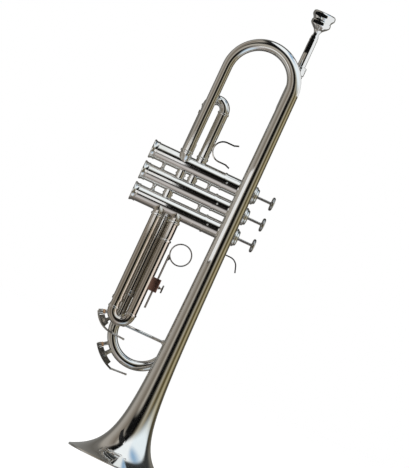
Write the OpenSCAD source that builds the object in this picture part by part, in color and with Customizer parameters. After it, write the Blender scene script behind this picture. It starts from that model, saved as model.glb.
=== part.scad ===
// Trumpet in B flat, standing on its bell. Millimetres, +Z from the bell rim towards the mouthpiece.
// The bell's axis is the Z axis, the finger buttons point to +X, and the leadpipe lies on the +Y side.

/* [Bell] */
// Outer diameter of the bell rim
bell_d = 123; // [110:1:135]
// Thickness of the bell sheet
bell_wall = 0.7; // [0.5:0.1:1]
// Diameter of the wire bead at the rim
rim_bead_d = 2.6; // [2.2:0.1:3.2]
// Radius that the stem starts from at the bow
stem_r = 8.3; // [7.9:0.05:8.7]
// Height of the bow's centre above the rim
bow_z = 463.3; // [450:0.1:560]
// Distance between the stem's axis and the tail's axis, towards the bottom caps
bow_drop = 78.8; // [76:0.1:84]

/* [Valves] */
// Distance between neighbouring valve axes
valve_pitch = 26; // [25:0.5:32]
// Height of the middle valve above the rim
valve_z = 316.4; // [310:0.2:330]
// Outer diameter of a valve casing
casing_od = 19.8; // [17:0.1:23.8]
// Thickness of the casing wall
casing_wall = 0.9; // [0.7:0.1:1.2]
// Stroke of a piston
valve_stroke = 15.5; // [13:0.5:16]
// Height of the casing joint, measured from the bell's axis
casing_joint_x = -26.6; // [-30:0.2:-24]
// Place of the casing's lower end
casing_low_x = -113; // [-120:0.5:-111]
// Place of the casing's upper end
casing_top_x = 9.5; // [8:0.5:11]
// Diameter of a valve stem
valve_stem_d = 3; // [2.6:0.1:3.8]
// Diameter of a finger button
button_d = 16.4; // [14:0.2:18]

/* [Tubing] */
// Outer diameter of the slide sleeves and of the bell's tail
sleeve_od = 12; // [11:0.1:12.6]
// Wall of all the slide tubing
tube_wall = 0.5; // [0.4:0.05:0.7]
// Radial clearance of sliding and turning fits
fit = 0.05; // [0.03:0.01:0.08]
// How far outside a casing's wall the knuckles begin to bend
knuckle_out = 2.1; // [1.6:0.1:4]
// Outer diameter of the leadpipe at its narrow end
lead_od = 10.6; // [10:0.1:11]

/* [Slides] */
// Height of the main tuning slide's bow centre
tuning_bow_z = 144.6; // [130:0.2:160]
// Height where the tuning slide's sleeves end
tuning_sleeve_z = 180; // [172:0.5:200]
// Height of the third slide's bow centre
third_bow_z = 160.2; // [148:0.2:176]
// Distance between the third slide's legs
third_gap = 21.4; // [20:0.1:25]
// Height of the first slide's bow centre
first_bow_z = 413; // [400:0.5:425]
// Distance between the first slide's legs, towards the bottom caps
first_gap = 20.2; // [19:0.1:24]
// Distance between the second slide's legs
second_gap = 18; // [16:0.5:21]
// Length of the second slide's sleeves beyond the casing
second_sleeve_len = 22; // [18:1:28]

/* [Hardware] */
// Inner radius of the third slide's finger ring
ring_r = 11.6; // [10:0.2:14]
// Wire diameter of the finger ring
ring_wire_d = 1.6; // [1.4:0.1:2.2]
// Length of the ring's adjusting rod
rod_len = 66; // [60:1:75]
// Diameter of the adjusting rod
rod_d = 2.3; // [1.8:0.1:2.8]
// Inner radius of the thumb saddle
saddle_r = 11; // [9.5:0.5:13]
// Width of the thumb saddle's strap
saddle_w = 8; // [6:0.5:10]
// Width of the water keys, along their pins
key_w = 8.4; // [8:0.2:10]

/* [Mouthpiece] */
// Diameter of the mouthpiece rim
rim_d = 27; // [25:0.2:28.5]
// Inner diameter of the cup at the rim
cup_d = 16.6; // [15.5:0.1:18]
// Diameter of the throat
throat_d = 3.7; // [3.4:0.1:4.2]
// Length of the mouthpiece outside the receiver
mouthpiece_len = 66.7; // [60:0.1:75]
// Depth of the shank inside the receiver
shank_in = 21; // [18:0.5:24]
// Height of the receiver's mouth
receiver_z = 498.3; // [490:0.1:560]

/* [Hidden] */
$fn = 64;
// How far the parts of one solid pass into each other
join = 0.001;

// Bell: the flare is a power law added to a stem with a slight taper.
stem_taper = 0.0057;
flare_power = 2.145;
flare_z0 = 41.6;
flare_top = 118;
flare_steps = 24;
rim_h = rim_bead_d * 0.85;
sheet_r = bell_d / 2 - 0.3;
flare_k = (sheet_r - stem_r - stem_taper * (bow_z - rim_h)) * pow(flare_z0, flare_power);

function flare_at(z) = flare_k / pow(z - rim_h + flare_z0, flare_power);
function bell_r(z) = stem_r + stem_taper * (bow_z - z) + flare_at(z);
function bell_slope(z) = stem_taper + flare_power * flare_at(z) / (z - rim_h + flare_z0);
function bell_bore(z) = bell_r(z) - bell_wall * sqrt(1 + pow(bell_slope(z), 2));

// Tubing radii
sleeve_r = sleeve_od / 2;
sleeve_bore = sleeve_r - tube_wall;
leg_r = sleeve_bore - fit;
leg_bore = leg_r - tube_wall;
bow_tube_r = sleeve_r - 0.1;
ferrule_r = sleeve_r + 0.6;

// Valves: centres along Z, axes along X
casing_r = casing_od / 2;
casing_bore = casing_r - casing_wall;
baluster_r = casing_r + 0.3;
baluster_bore = baluster_r - 0.7;
cap_r = baluster_r + 0.65;
stem_gap = 1.4;
valve_y = bell_r(valve_z - valve_pitch) + stem_gap + 0.75 + casing_r;
valve_zs = [valve_z + valve_pitch, valve_z, valve_z - valve_pitch];
piston_r = casing_bore - fit;

// Lines of the tubing, seen from the bow: x towards the bottom caps is negative
lead_x = -2.8;
lead_y = valve_y + cap_r + 0.9 + sleeve_r;
// Each line that meets a casing through a knuckle lies a little inside the casing's side
tail_out = casing_r - 1.4;
first_out = casing_r - 3.7;
third_out = casing_r - 3.9;
tuning_out = casing_r - 2.9;
tail = [-bow_drop, valve_y - tail_out];
first_high = [-60, valve_y];
first_low = [first_high[0] - first_gap, valve_y + first_out];
third_high = [-58.8, valve_y - third_out];
third_low = [third_high[0] - third_gap, valve_y - third_out];
tuning_high = [lead_x, lead_y];
tuning_low = [-70.6, valve_y + tuning_out];
link_r = 5.4;
link_high_x = -60.5;
link_low_x = -75;
link_3_x = -79;

// Slide ends
knuckle_bend = casing_r + knuckle_out;
knuckle_run = knuckle_bend;
first_start = valve_zs[0] + knuckle_run;
third_start = valve_zs[2] - knuckle_run;
tail_end = valve_zs[0] + knuckle_run + 1.6;
lead_end = valve_zs[2] - 5;

// Water keys: angles are measured in the slide's plane, about the bow's centre
pin_r = 0.9;
barrel_r = 1.5;

// ---- shared shapes ----

module ring2d(outer, inner) {
    difference() {
        circle(r = outer);
        circle(r = inner);
    }
}

module tube(outer, inner, length) {
    difference() {
        cylinder(r = outer, h = length);
        translate([0, 0, -1]) cylinder(r = inner, h = length + 2);
    }
}

// A tube parallel to Z between two heights
module tube_between(place, outer, inner, z_low, z_high) {
    translate([place[0], place[1], z_low]) tube(outer, inner, z_high - z_low);
}

// Children drawn along +Z are laid along +X on a valve's axis
module on_valve(z) {
    translate([0, valve_y, z]) rotate([0, 90, 0]) children();
}

module casing_solid(z, r = casing_r) {
    translate([casing_low_x - 1, valve_y, z]) rotate([0, 90, 0])
        cylinder(r = r, h = casing_top_x - casing_low_x + 2);
}

// A bend that starts at the origin, climbs along +Z and turns by an angle; turn -90 leans it to +Y
module bend(outer, inner, radius, angle, turn) {
    rotate([0, 0, turn]) rotate([90, 0, 0]) translate([-radius, 0, 0])
        rotate_extrude(angle = angle) translate([radius, 0])
            if (inner > 0) ring2d(outer, inner); else circle(r = outer);
}

// The two legs' plane: the origin goes midway between them and +X towards the first of them
module between_legs(high, low, z) {
    translate([(high[0] + low[0]) / 2, (high[1] + low[1]) / 2, z])
        rotate([0, 0, atan2(high[1] - low[1], high[0] - low[0])]) children();
}

function leg_gap(high, low) = norm([high[0] - low[0], high[1] - low[1]]);

// Half a turn of tube joining two legs; side 1 bulges up and side -1 down
module u_bow(high, low, z, side, outer, inner) {
    between_legs(high, low, z) rotate([90 * side, 0, 0])
        rotate_extrude(angle = 180) translate([leg_gap(high, low) / 2, 0])
            if (inner > 0) ring2d(outer, inner); else circle(r = outer);
}

// A knuckle: a bend with a collar, ending on the casing's wall
module knuckle(place, z_start, valve, side, turn, outer = sleeve_r) {
    difference() {
        translate([place[0], place[1], z_start]) mirror([0, 0, side < 0 ? 1 : 0]) {
            bend(outer, outer - tube_wall, knuckle_bend, 60, turn);
            bend_collar(outer, turn);
        }
        casing_solid(valve_zs[valve - 1]);
    }
}

module bend_collar(outer, turn) {
    collar_angle = 18;
    rotate([0, 0, turn]) rotate([90, 0, 0]) translate([-knuckle_bend, 0, 0])
        rotate([0, 0, collar_angle]) translate([knuckle_bend, 0, 0]) rotate([-90, 0, 0])
            translate([0, 0, -0.9]) tube(outer + 0.7, outer - tube_wall / 2, 1.8);
}

// The air way of a knuckle, cut through the casing's wall
module knuckle_way(place, z_start, side, turn) {
    translate([place[0], place[1], z_start]) mirror([0, 0, side < 0 ? 1 : 0])
        bend(sleeve_bore, 0, knuckle_bend, 60, turn);
}

// A closed coil of round wire along +Z, as one swept skin
module coil(radius, wire_r, pitch, turns, sides = 6, per_turn = 12) {
    rings = turns * per_turn;
    skin = [for (i = [0:rings]) for (k = [0:sides - 1])
        let (a = 360 * i / per_turn, b = 360 * k / sides, r = radius + wire_r * cos(b))
        [r * cos(a), r * sin(a), pitch * i / per_turn + wire_r * sin(b)]];
    walls = [for (i = [0:rings - 1]) for (k = [0:sides - 1])
        let (n = (k + 1) % sides)
        [i * sides + k, i * sides + n, (i + 1) * sides + n, (i + 1) * sides + k]];
    first_end = [for (k = [0:sides - 1]) sides - 1 - k];
    last_end = [for (k = [0:sides - 1]) rings * sides + k];
    polyhedron(points = skin, faces = concat(walls, [first_end, last_end]));
}

// ---- bell ----

function flare_z(i) = rim_h + (flare_top - rim_h) * pow(i / flare_steps, 2);

module bell_flare() {
    color("silver") rotate_extrude(convexity = 4) polygon(concat(
        [for (i = [0:flare_steps]) [bell_r(flare_z(i)), flare_z(i)]],
        [for (i = [flare_steps:-1:0]) [bell_bore(flare_z(i)), flare_z(i)]]));
}

module bell_stem() {
    steps = 8;
    heights = [for (i = [0:steps]) flare_top + (bow_z - flare_top) * pow(i / steps, 1.6)];
    color("silver") rotate_extrude(convexity = 4) polygon(concat(
        [for (i = [0:steps]) [bell_r(heights[i]), heights[i]]],
        [for (i = [steps:-1:0]) [bell_bore(heights[i]), heights[i]]]));
}

// The bead is a wire with a flat underneath, so that the instrument stands on it
module bell_rim_bead() {
    color("silver") rotate_extrude() translate([bell_d / 2 - rim_bead_d / 2, 0]) intersection() {
        translate([0, rim_h / 2]) circle(d = rim_bead_d);
        translate([-rim_bead_d, 0]) square([2 * rim_bead_d, rim_h]);
    }
}

module bell_bow() {
    steps = 22;
    sides = 24;
    high = [0, 0];
    radius = leg_gap(high, tail) / 2;
    r_start = bell_r(bow_z);
    outer = function (i) r_start + (sleeve_r - r_start) * i / steps;
    point = function (i, k, r) let (a = 180 * i / steps, b = 360 * k / sides)
        [(radius + r * cos(b)) * cos(a), r * sin(b), (radius + r * cos(b)) * sin(a)];
    skin = [for (i = [0:steps]) for (k = [0:sides - 1]) point(i, k, outer(i))];
    bore = [for (i = [0:steps]) for (k = [0:sides - 1]) point(i, k, outer(i) - bell_wall)];
    count = len(skin);
    next = function (k) (k + 1) % sides;
    skin_faces = [for (i = [0:steps - 1]) for (k = [0:sides - 1])
        [i * sides + k, (i + 1) * sides + k, (i + 1) * sides + next(k), i * sides + next(k)]];
    bore_faces = [for (f = skin_faces) [count + f[3], count + f[2], count + f[1], count + f[0]]];
    start_faces = [for (k = [0:sides - 1]) [k, next(k), count + next(k), count + k]];
    last = steps * sides;
    end_faces = [for (k = [0:sides - 1])
        [last + k, count + last + k, count + last + next(k), last + next(k)]];
    color("silver") between_legs(high, tail, bow_z)
        polyhedron(points = concat(skin, bore),
                   faces = concat(skin_faces, bore_faces, start_faces, end_faces), convexity = 6);
}

module bell_tail() {
    color("silver") {
        tube_between(tail, sleeve_r, sleeve_r - tube_wall, tail_end, bow_z);
        tube_between(tail, ferrule_r, sleeve_r + fit, tail_end, tail_end + 11.5);
        knuckle(tail, tail_end + join, 1, -1, -90);
    }
}

module bell_brace(z) {
    foot_r = 4.4;
    difference() {
        translate([0, 0, z]) rotate([-90, 0, 0]) {
            cylinder(r = 1.7, h = lead_y);
            translate([0, 0, bell_r(z) - 3]) cylinder(r = foot_r, h = 4.2);
            translate([0, 0, lead_y - lead_od / 2 - 1.4]) cylinder(r = foot_r, h = 4);
        }
        translate([0, 0, z - 10]) cylinder(r = bell_r(z - foot_r), h = 20);
        translate([lead_x, lead_y, z - 10]) cylinder(r = pipe_r(z - foot_r), h = 20);
    }
}

module bell_braces() {
    color("silver") {
        bell_brace(valve_zs[2] - 26);
        bell_brace(valve_zs[0] + 58);
    }
}

// ---- valve block ----

module casing_shell(z) {
    joint_ring = 2.2;
    ring_step = 0.55;
    on_valve(z) difference() {
        union() {
            translate([0, 0, casing_low_x]) cylinder(r = casing_r, h = casing_joint_x - casing_low_x);
            translate([0, 0, casing_joint_x - joint_ring]) cylinder(r = baluster_r + ring_step, h = joint_ring);
        }
        translate([0, 0, casing_low_x - 1])
            cylinder(r = casing_bore, h = casing_joint_x - casing_low_x + 2);
    }
}

module straight_way(x, z_from, z_to) {
    translate([x, valve_y, z_from]) cylinder(r = link_r - tube_wall, h = z_to - z_from);
}

module valve_casing_1() {
    color("gainsboro") difference() {
        casing_shell(valve_zs[0]);
        knuckle_way(tail, tail_end, -1, -90);
        knuckle_way(first_low, first_start, -1, 90);
        translate([first_high[0], valve_y, valve_zs[0]]) cylinder(r = leg_bore, h = casing_od);
        straight_way(link_high_x, valve_zs[0] - casing_od, valve_zs[0]);
        straight_way(link_low_x, valve_zs[0] - casing_od, valve_zs[0]);
    }
}

module valve_casing_2() {
    color("gainsboro") difference() {
        casing_shell(valve_zs[1]);
        straight_way(link_high_x, valve_zs[1], valve_zs[1] + casing_od);
        straight_way(link_low_x, valve_zs[1], valve_zs[1] + casing_od);
        straight_way(link_3_x, valve_zs[1] - casing_od, valve_zs[1]);
        for (x = second_xs) translate([x, valve_y, valve_zs[1]]) rotate([-90, 0, 0])
            cylinder(r = sleeve_bore, h = casing_od);
    }
}

module valve_casing_3() {
    color("gainsboro") difference() {
        casing_shell(valve_zs[2]);
        straight_way(link_3_x, valve_zs[2], valve_zs[2] + casing_od);
        knuckle_way(third_high, third_start, 1, -90);
        knuckle_way(third_low, third_start, 1, -90);
        knuckle_way(tuning_low, third_start, 1, 90);
    }
}

module valve_balusters() {
    color("gainsboro") for (z = valve_zs) on_valve(z) {
        translate([0, 0, casing_joint_x]) tube(baluster_r, baluster_bore, casing_top_x - casing_joint_x);
    }
}

module top_caps() {
    skirt = 5.5;
    top = casing_top_x + 5.8;
    ceiling = casing_top_x + 3.4;
    hole = valve_stem_d / 2 + 0.3;
    color("silver") for (z = valve_zs) on_valve(z) rotate_extrude() polygon([
        [cap_r, casing_top_x - skirt], [cap_r, casing_top_x + 1.8], [cap_r - 0.5, ceiling - 0.6],
        [cap_r - 1.8, ceiling], [cap_r - 2.3, top - 0.9], [cap_r - 3.1, top - 0.3], [3.4, top],
        [hole, top], [hole, ceiling], [baluster_bore, ceiling], [baluster_bore, casing_top_x],
        [baluster_r + fit, casing_top_x], [baluster_r + fit, casing_top_x - skirt]]);
}

module bottom_caps() {
    edge = casing_low_x + 2.8;
    base = casing_low_x - 4.3;
    floor_t = 1.4;
    color("silver") for (z = valve_zs) on_valve(z) rotate_extrude() polygon([
        [casing_r + 0.8, edge], [casing_r + 0.55, edge - 2], [casing_r + 0.8, edge - 3.6],
        [casing_r + 1.4, base + 1.1], [casing_r + 1.4, base + 0.3], [casing_r + 1.1, base],
        [2.5, base], [2.5, base + floor_t], [casing_bore - 0.2, base + floor_t],
        [casing_bore - 0.2, casing_low_x], [casing_r + fit, casing_low_x], [casing_r + fit, edge]]);
}

// A short waisted stay between two neighbouring casings, flared onto both
module casing_stay(x, z) {
    waist_r = 1.9;
    foot_r = 4.3;
    steps = 6;
    reach = valve_pitch / 2 - sqrt(casing_r * casing_r - foot_r * foot_r) + 0.3;
    radius = function (share) waist_r + (foot_r - waist_r) * pow(abs(share), 2.6);
    flare = [for (i = [-steps:steps]) [radius(i / steps), reach * i / steps]];
    difference() {
        translate([x, valve_y, z]) rotate_extrude()
            polygon(concat([[0, -reach]], flare, [[0, reach]]));
        casing_solid(z + valve_pitch / 2);
        casing_solid(z - valve_pitch / 2);
    }
}

module casing_braces() {
    color("silver") for (z = [valve_z + valve_pitch / 2, valve_z - valve_pitch / 2]) {
        casing_stay(-40, z);
        casing_stay(-96.6, z);
    }
}

// A cross tube between two casings with a raised ring round its middle
module cross_tube(x, z) {
    difference() {
        translate([x, valve_y, z - valve_pitch / 2]) difference() {
            union() {
                cylinder(r = link_r, h = valve_pitch);
                translate([0, 0, valve_pitch / 2 - 0.8]) cylinder(r = link_r + 0.7, h = 1.6);
            }
            translate([0, 0, -1]) cylinder(r = link_r - tube_wall, h = valve_pitch + 2);
        }
        casing_solid(z + valve_pitch / 2);
        casing_solid(z - valve_pitch / 2);
    }
}

module valve_knuckles() {
    color("silver") {
        cross_tube(link_high_x, valve_z + valve_pitch / 2);
        cross_tube(link_low_x, valve_z + valve_pitch / 2);
        cross_tube(link_3_x, valve_z - valve_pitch / 2);
    }
}

// ---- pistons ----

guide_t = 2.4;
guide_w = 5;
piston_low_x = casing_low_x + valve_stroke + 1;
piston_top_x = casing_top_x - 0.5;
barrel_floor_x = casing_joint_x - 3.6;
plate_t = 1.5;
way_r = 4.4;
way_xs = [-60.2, -70.5, -80.8];
way_turns = [0, 35, -30];

// The guide bar lies across the barrel's slots and rests on the casing's upper edge
module valve_guides() {
    color("gold") for (z = valve_zs) on_valve(z) translate([0, 0, casing_joint_x]) intersection() {
        cylinder(r = baluster_bore - fit, h = guide_t);
        translate([-guide_w / 2, -casing_od, -1]) cube([guide_w, 2 * casing_od, guide_t + 2]);
    }
}

module piston(z) {
    shell = 0.8;
    slot_end = casing_joint_x + guide_t + valve_stroke + 0.5;
    color("lightgray") on_valve(z) difference() {
        translate([0, 0, piston_low_x]) cylinder(r = piston_r, h = piston_top_x - piston_low_x);
        // hollow of the body, round the three air ways
        difference() {
            translate([0, 0, piston_low_x + plate_t])
                cylinder(r = piston_r - shell, h = barrel_floor_x - piston_low_x - 2 * plate_t);
            for (i = [0:2]) air_way(i, way_r + shell);
        }
        for (i = [0:2]) air_way(i, way_r);
        translate([0, 0, piston_low_x - 1]) cylinder(r = 3, h = plate_t + 2);
        // spring barrel with two slots for the guide
        translate([0, 0, barrel_floor_x])
            cylinder(r = piston_r - shell, h = piston_top_x - barrel_floor_x - plate_t);
        translate([-guide_w / 2 - 0.15, -casing_od, casing_joint_x - 0.3])
            cube([guide_w + 0.3, 2 * casing_od, slot_end - casing_joint_x + 0.3]);
    }
}

module air_way(i, r) {
    translate([0, 0, way_xs[i]]) rotate([0, 0, way_turns[i]]) rotate([0, 90, 0])
        translate([0, 0, -casing_od]) cylinder(r = r, h = 2 * casing_od);
}

button_low_x = casing_top_x + 5.8 + valve_stroke + 0.4;
button_h = 4.6;

// Stem and metal finger button, turned in one; the pearl sits in the button's dish
module valve_stem(z) {
    r = button_d / 2;
    stem_rr = valve_stem_d / 2;
    color("silver") on_valve(z) rotate_extrude() polygon([
        [0, piston_top_x], [stem_rr + 0.5, piston_top_x], [stem_rr + 0.5, piston_top_x + 1],
        [stem_rr, piston_top_x + 1], [stem_rr, button_low_x - 0.3], [stem_rr + 0.9, button_low_x],
        [r - 1.6, button_low_x], [r - 0.4, button_low_x + 0.7], [r, button_low_x + 1.7],
        [r - 0.1, button_low_x + 2.6], [r - 0.9, button_low_x + 3.6], [r - 1.7, button_low_x + 3.9],
        [r - 1.7, button_low_x + 3.1], [0, button_low_x + 3.1]]);
}

module button_pearl(z) {
    r = button_d / 2 - 1.7 - fit;
    low = button_low_x + 3.1;
    color("whitesmoke") on_valve(z) rotate_extrude() polygon([
        [0, low], [r, low], [r, low + 0.8], [r * 0.75, low + 1.25], [r * 0.4, low + 1.45],
        [0, button_low_x + button_h]]);
}

module stem_felt(z) {
    color("darkgreen") on_valve(z) translate([0, 0, piston_top_x])
        tube(4.6, valve_stem_d / 2 + 0.8, 3.6);
}

module valve_spring(z) {
    wire_r = 0.45;
    turns = 9;
    low = casing_joint_x + guide_t + wire_r + 0.1;
    high = piston_top_x - plate_t - wire_r - 0.1;
    color("silver") on_valve(z) translate([0, 0, low])
        coil(piston_r - 2.1, wire_r, (high - low) / turns, turns, 6, 10);
}

// ---- leadpipe ----

lead_low_r = sleeve_r - 0.1;
lead_taper_low = valve_zs[2] + 10;
lead_taper_high = receiver_z - 60;
lead_top = receiver_z - shank_in - 3;

function lead_r(z) = z > lead_taper_high ? lead_od / 2
    : z < lead_taper_low ? lead_low_r
    : lead_low_r + (lead_od / 2 - lead_low_r) * (z - lead_taper_low) / (lead_taper_high - lead_taper_low);

// The leadpipe's outside, or that of the tuning sleeve that takes over from it
function pipe_r(z) = z < lead_end ? sleeve_r : lead_r(z);

module leadpipe() {
    wall = 0.6;
    color("silver") translate([lead_x, lead_y, 0]) rotate_extrude() polygon([
        [lead_low_r, lead_end], [lead_low_r, lead_taper_low], [lead_od / 2, lead_taper_high],
        [lead_od / 2, lead_top], [lead_od / 2 - wall, lead_top], [lead_od / 2 - wall, lead_taper_high],
        [lead_low_r - wall, lead_taper_low], [lead_low_r - wall, lead_end]]);
}

shank_mouth_r = 4.8;
shank_tip_r = 4.45;

module mouthpiece_receiver() {
    collar_r = 7.3;
    body_r = 6.5;
    low = lead_taper_high + 2;
    color("silver") translate([lead_x, lead_y, 0]) rotate_extrude() polygon([
        [collar_r - 0.5, receiver_z], [collar_r, receiver_z - 0.6], [collar_r, receiver_z - 9.4],
        [collar_r - 0.6, receiver_z - 10], [body_r, receiver_z - 10.2], [body_r - 0.2, low + 5],
        [body_r - 0.8, low], [lead_od / 2 + fit, low], [lead_od / 2 + fit, lead_top],
        [shank_tip_r + fit, lead_top], [shank_tip_r + fit, receiver_z - shank_in],
        [shank_mouth_r + fit, receiver_z]]);
}

// ---- main tuning slide ----

module tuning_upper_sleeve() {
    color("silver") {
        difference() {
            translate([lead_x, lead_y, 0]) union() {
                translate([0, 0, tuning_sleeve_z]) cylinder(r = sleeve_r, h = lead_end - tuning_sleeve_z);
                translate([0, 0, lead_end - 6]) cylinder(r = ferrule_r + 0.2, h = 14);
                translate([0, 0, tuning_sleeve_z]) cylinder(r = ferrule_r, h = 5);
            }
            translate([lead_x, lead_y, tuning_sleeve_z - 1])
                cylinder(r = sleeve_bore, h = lead_end - tuning_sleeve_z + 1);
            translate([lead_x, lead_y, lead_end - join]) cylinder(r = lead_low_r + fit, h = 20);
        }
    }
}

// A straight fixed sleeve from a knuckle's start down to an end ring
module lower_sleeve(place, z_start, z_end, ring_len) {
    tube_between(place, sleeve_r, sleeve_bore, min(z_start, z_end), max(z_start, z_end));
    tube_between(place, ferrule_r, sleeve_r - tube_wall / 2,
                 z_end - (z_end > z_start ? ring_len : 0), z_end + (z_end > z_start ? 0 : ring_len));
}

module tuning_lower_sleeve() {
    step_z = tuning_sleeve_z + 38;
    color("silver") {
        knuckle(tuning_low, third_start - join, 3, 1, 90);
        lower_sleeve(tuning_low, third_start, tuning_sleeve_z, 5.3);
        tube_between(tuning_low, sleeve_r + 0.3, sleeve_r - tube_wall / 2, step_z, third_start);
    }
}

leg_end = 6;
tuning_in = 26;

ferrule_len = 3;

module tuning_legs() {
    color("silver") for (place = [tuning_high, tuning_low]) {
        tube_between(place, leg_r, leg_bore, tuning_bow_z, third_start - tuning_in - 4);
        tube_between(place, sleeve_r, leg_r - tube_wall / 2, tuning_bow_z, tuning_bow_z + ferrule_len);
    }
}

module tuning_bow() {
    color("silver") difference() {
        u_bow(tuning_high, tuning_low, tuning_bow_z, -1, bow_tube_r, bow_tube_r - tube_wall);
        main_key_frame() along(key_angle_main, 0) cylinder(r = 1.4, h = main_rim_r + 1);
    }
}

// A stay between the legs, with a flared socket at each end
module tuning_brace() {
    brace_z = tuning_bow_z + ferrule_len + 0.3;
    end = leg_gap(tuning_high, tuning_low) / 2;
    socket = end - leg_r - 6.5;
    half = [[1.7, socket], [3.1, socket + 2.4], [3.1, socket + 5.2], [2.4, socket + 6.5], [2.4, end],
            [0, end]];
    other_half = [for (i = [len(half) - 1:-1:0]) [half[i][0], -half[i][1]]];
    color("silver") difference() {
        between_legs(tuning_high, tuning_low, brace_z) rotate([0, 90, 0])
            rotate_extrude() polygon(concat(other_half, half));
        for (place = [tuning_high, tuning_low]) {
            translate([place[0], place[1], brace_z - 10]) cylinder(r = leg_r, h = 20);
            translate([place[0], place[1], tuning_bow_z]) cylinder(r = sleeve_r, h = ferrule_len);
        }
    }
}

// ---- water keys, drawn about their bow's centre with the bow in the XZ plane ----

module along(angle, distance) {
    rotate([0, 90 - angle, 0]) translate([0, 0, distance]) children();
}

module arc_band(angle_from, angle_to, radius, thick, width) {
    rotate([90, 0, 0]) rotate([0, 0, angle_from]) rotate_extrude(angle = angle_to - angle_from)
        translate([radius - thick / 2, -width / 2]) square([thick, width]);
}

main_rim_r = leg_gap(tuning_high, tuning_low) / 2 + bow_tube_r;
third_rim_r = third_gap / 2 + bow_tube_r;
key_angle_main = 215.7;
pivot_angle_main = 229.3;
pivot_r_main = main_rim_r + 7.4;
band_r_main = pivot_r_main + 4;
key_angle_third = 204;
pivot_angle_third = 233.2;
pivot_r_third = third_rim_r + 4.3;
band_r_third = pivot_r_third + 5.5;
nipple_r = 2.1;
nipple_bore = 1.4;
web_len = 12.6;
cork_t = 2.6;
cork_r = 2.6;

module main_key_frame() {
    between_legs(tuning_high, tuning_low, tuning_bow_z) children();
}

module third_key_frame() {
    between_legs(third_high, third_low, third_bow_z) children();
}

function nipple_top(pivot_r) = pivot_r - 2.4;

module key_mount(rim_r, pivot_r, pivot_angle, key_angle) {
    ear_t = 1.1;
    inner_y = key_w / 2 - 1.3;
    difference() {
        union() {
            for (side = [-1, 1]) along(pivot_angle, 0) translate([0, side * (inner_y + ear_t / 2), 0]) {
                translate([-1.9, -ear_t / 2, rim_r - 3]) cube([3.8, ear_t, pivot_r - rim_r + 3]);
                translate([0, ear_t / 2, pivot_r]) rotate([90, 0, 0]) cylinder(r = 3.1, h = ear_t);
            }
            along(pivot_angle, pivot_r) rotate([90, 0, 0])
                cylinder(r = pin_r, h = key_w + 0.6, center = true);
            along(key_angle, rim_r - 2) cylinder(r = nipple_r, h = nipple_top(pivot_r) - rim_r + 2);
        }
        along(key_angle, 0) cylinder(r = nipple_bore, h = pivot_r + 10);
        key_bow_solid(rim_r);
    }
}

// The bow's own outer skin, cut from what is seated on it
module key_bow_solid(rim_r) {
    rotate([-90, 0, 0]) rotate_extrude(angle = 180) translate([rim_r - bow_tube_r, 0])
        circle(r = bow_tube_r);
}

module key_lever(pivot_r, pivot_angle, key_angle, band_r, tail_angle, tail_from, tail_to) {
    band_t = 2.2;
    band_w = 4.6;
    web_w = 2.6;
    cup_low = nipple_top(pivot_r) + cork_t + fit;
    web_low = pivot_r - 1.4;
    web_from = key_angle + asin((cork_r + 0.6) / pivot_r);
    web_to = pivot_angle + asin(web_len * pivot_r / pivot_r_main / band_r);
    difference() {
        union() {
            arc_band(key_angle - 2.5, tail_angle, band_r, band_t, band_w);
            along(key_angle, cup_low) cylinder(r = cork_r + 0.4, h = band_r - cup_low);
            along(pivot_angle, pivot_r) rotate([90, 0, 0])
                cylinder(r = barrel_r, h = 2 * (key_w / 2 - 1.3 - 0.3), center = true);
            translate([0, (web_w - band_w) / 2, 0])
                arc_band(web_from, web_to, (web_low + band_r) / 2, band_r - web_low, web_w);
            key_tail(tail_from, tail_to);
        }
        along(pivot_angle, pivot_r) rotate([90, 0, 0])
            cylinder(r = pin_r + fit, h = key_w + 2, center = true);
    }
}

// The finger end of a key: a rod with a ball tip
module key_tail(from, to) {
    run = [to[0] - from[0], to[1] - from[1]];
    translate([from[0], 0, from[1]]) rotate([0, 90 - atan2(run[1], run[0]), 0]) {
        cylinder(r = 1.1, h = norm(run));
        sphere(r = 1.35);
        translate([0, 0, norm(run)]) sphere(r = 1.35);
    }
}

module key_cork(pivot_r, key_angle) {
    along(key_angle, nipple_top(pivot_r) + fit) cylinder(r = cork_r, h = cork_t);
}

module key_spring(pivot_r, pivot_angle) {
    along(pivot_angle, pivot_r) translate([0, 0.85, 0]) rotate([-90, 0, 0])
        coil(barrel_r + 0.45, 0.22, 0.55, 2, 6, 12);
}

function polar(r, a) = [r * cos(a), r * sin(a)];

tail_angle_main = 250;
tail_tip_main = [1, 4.4 - band_r_main];
tail_angle_third = 271;
tail_tip_third = [14.7, -1 - band_r_third];

module main_key_mount() {
    color("silver") main_key_frame()
        key_mount(main_rim_r, pivot_r_main, pivot_angle_main, key_angle_main);
}

module main_key_lever() {
    color("silver") main_key_frame()
        key_lever(pivot_r_main, pivot_angle_main, key_angle_main, band_r_main, tail_angle_main,
                  polar(band_r_main, tail_angle_main), tail_tip_main);
}

module main_key_cork() {
    color("peru") main_key_frame() key_cork(pivot_r_main, key_angle_main);
}

module main_key_spring() {
    color("gold") main_key_frame() key_spring(pivot_r_main, pivot_angle_main);
}

module third_key_mount() {
    color("silver") third_key_frame()
        key_mount(third_rim_r, pivot_r_third, pivot_angle_third, key_angle_third);
}

module third_key_lever() {
    color("silver") third_key_frame()
        key_lever(pivot_r_third, pivot_angle_third, key_angle_third, band_r_third, tail_angle_third,
                  polar(band_r_third, tail_angle_third), tail_tip_third);
}

module third_key_cork() {
    color("peru") third_key_frame() key_cork(pivot_r_third, key_angle_third);
}

module third_key_spring() {
    color("gold") third_key_frame() key_spring(pivot_r_third, pivot_angle_third);
}

// ---- third slide ----

third_sleeve_start = third_start - 23;
third_travel_gap = 2;

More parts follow.
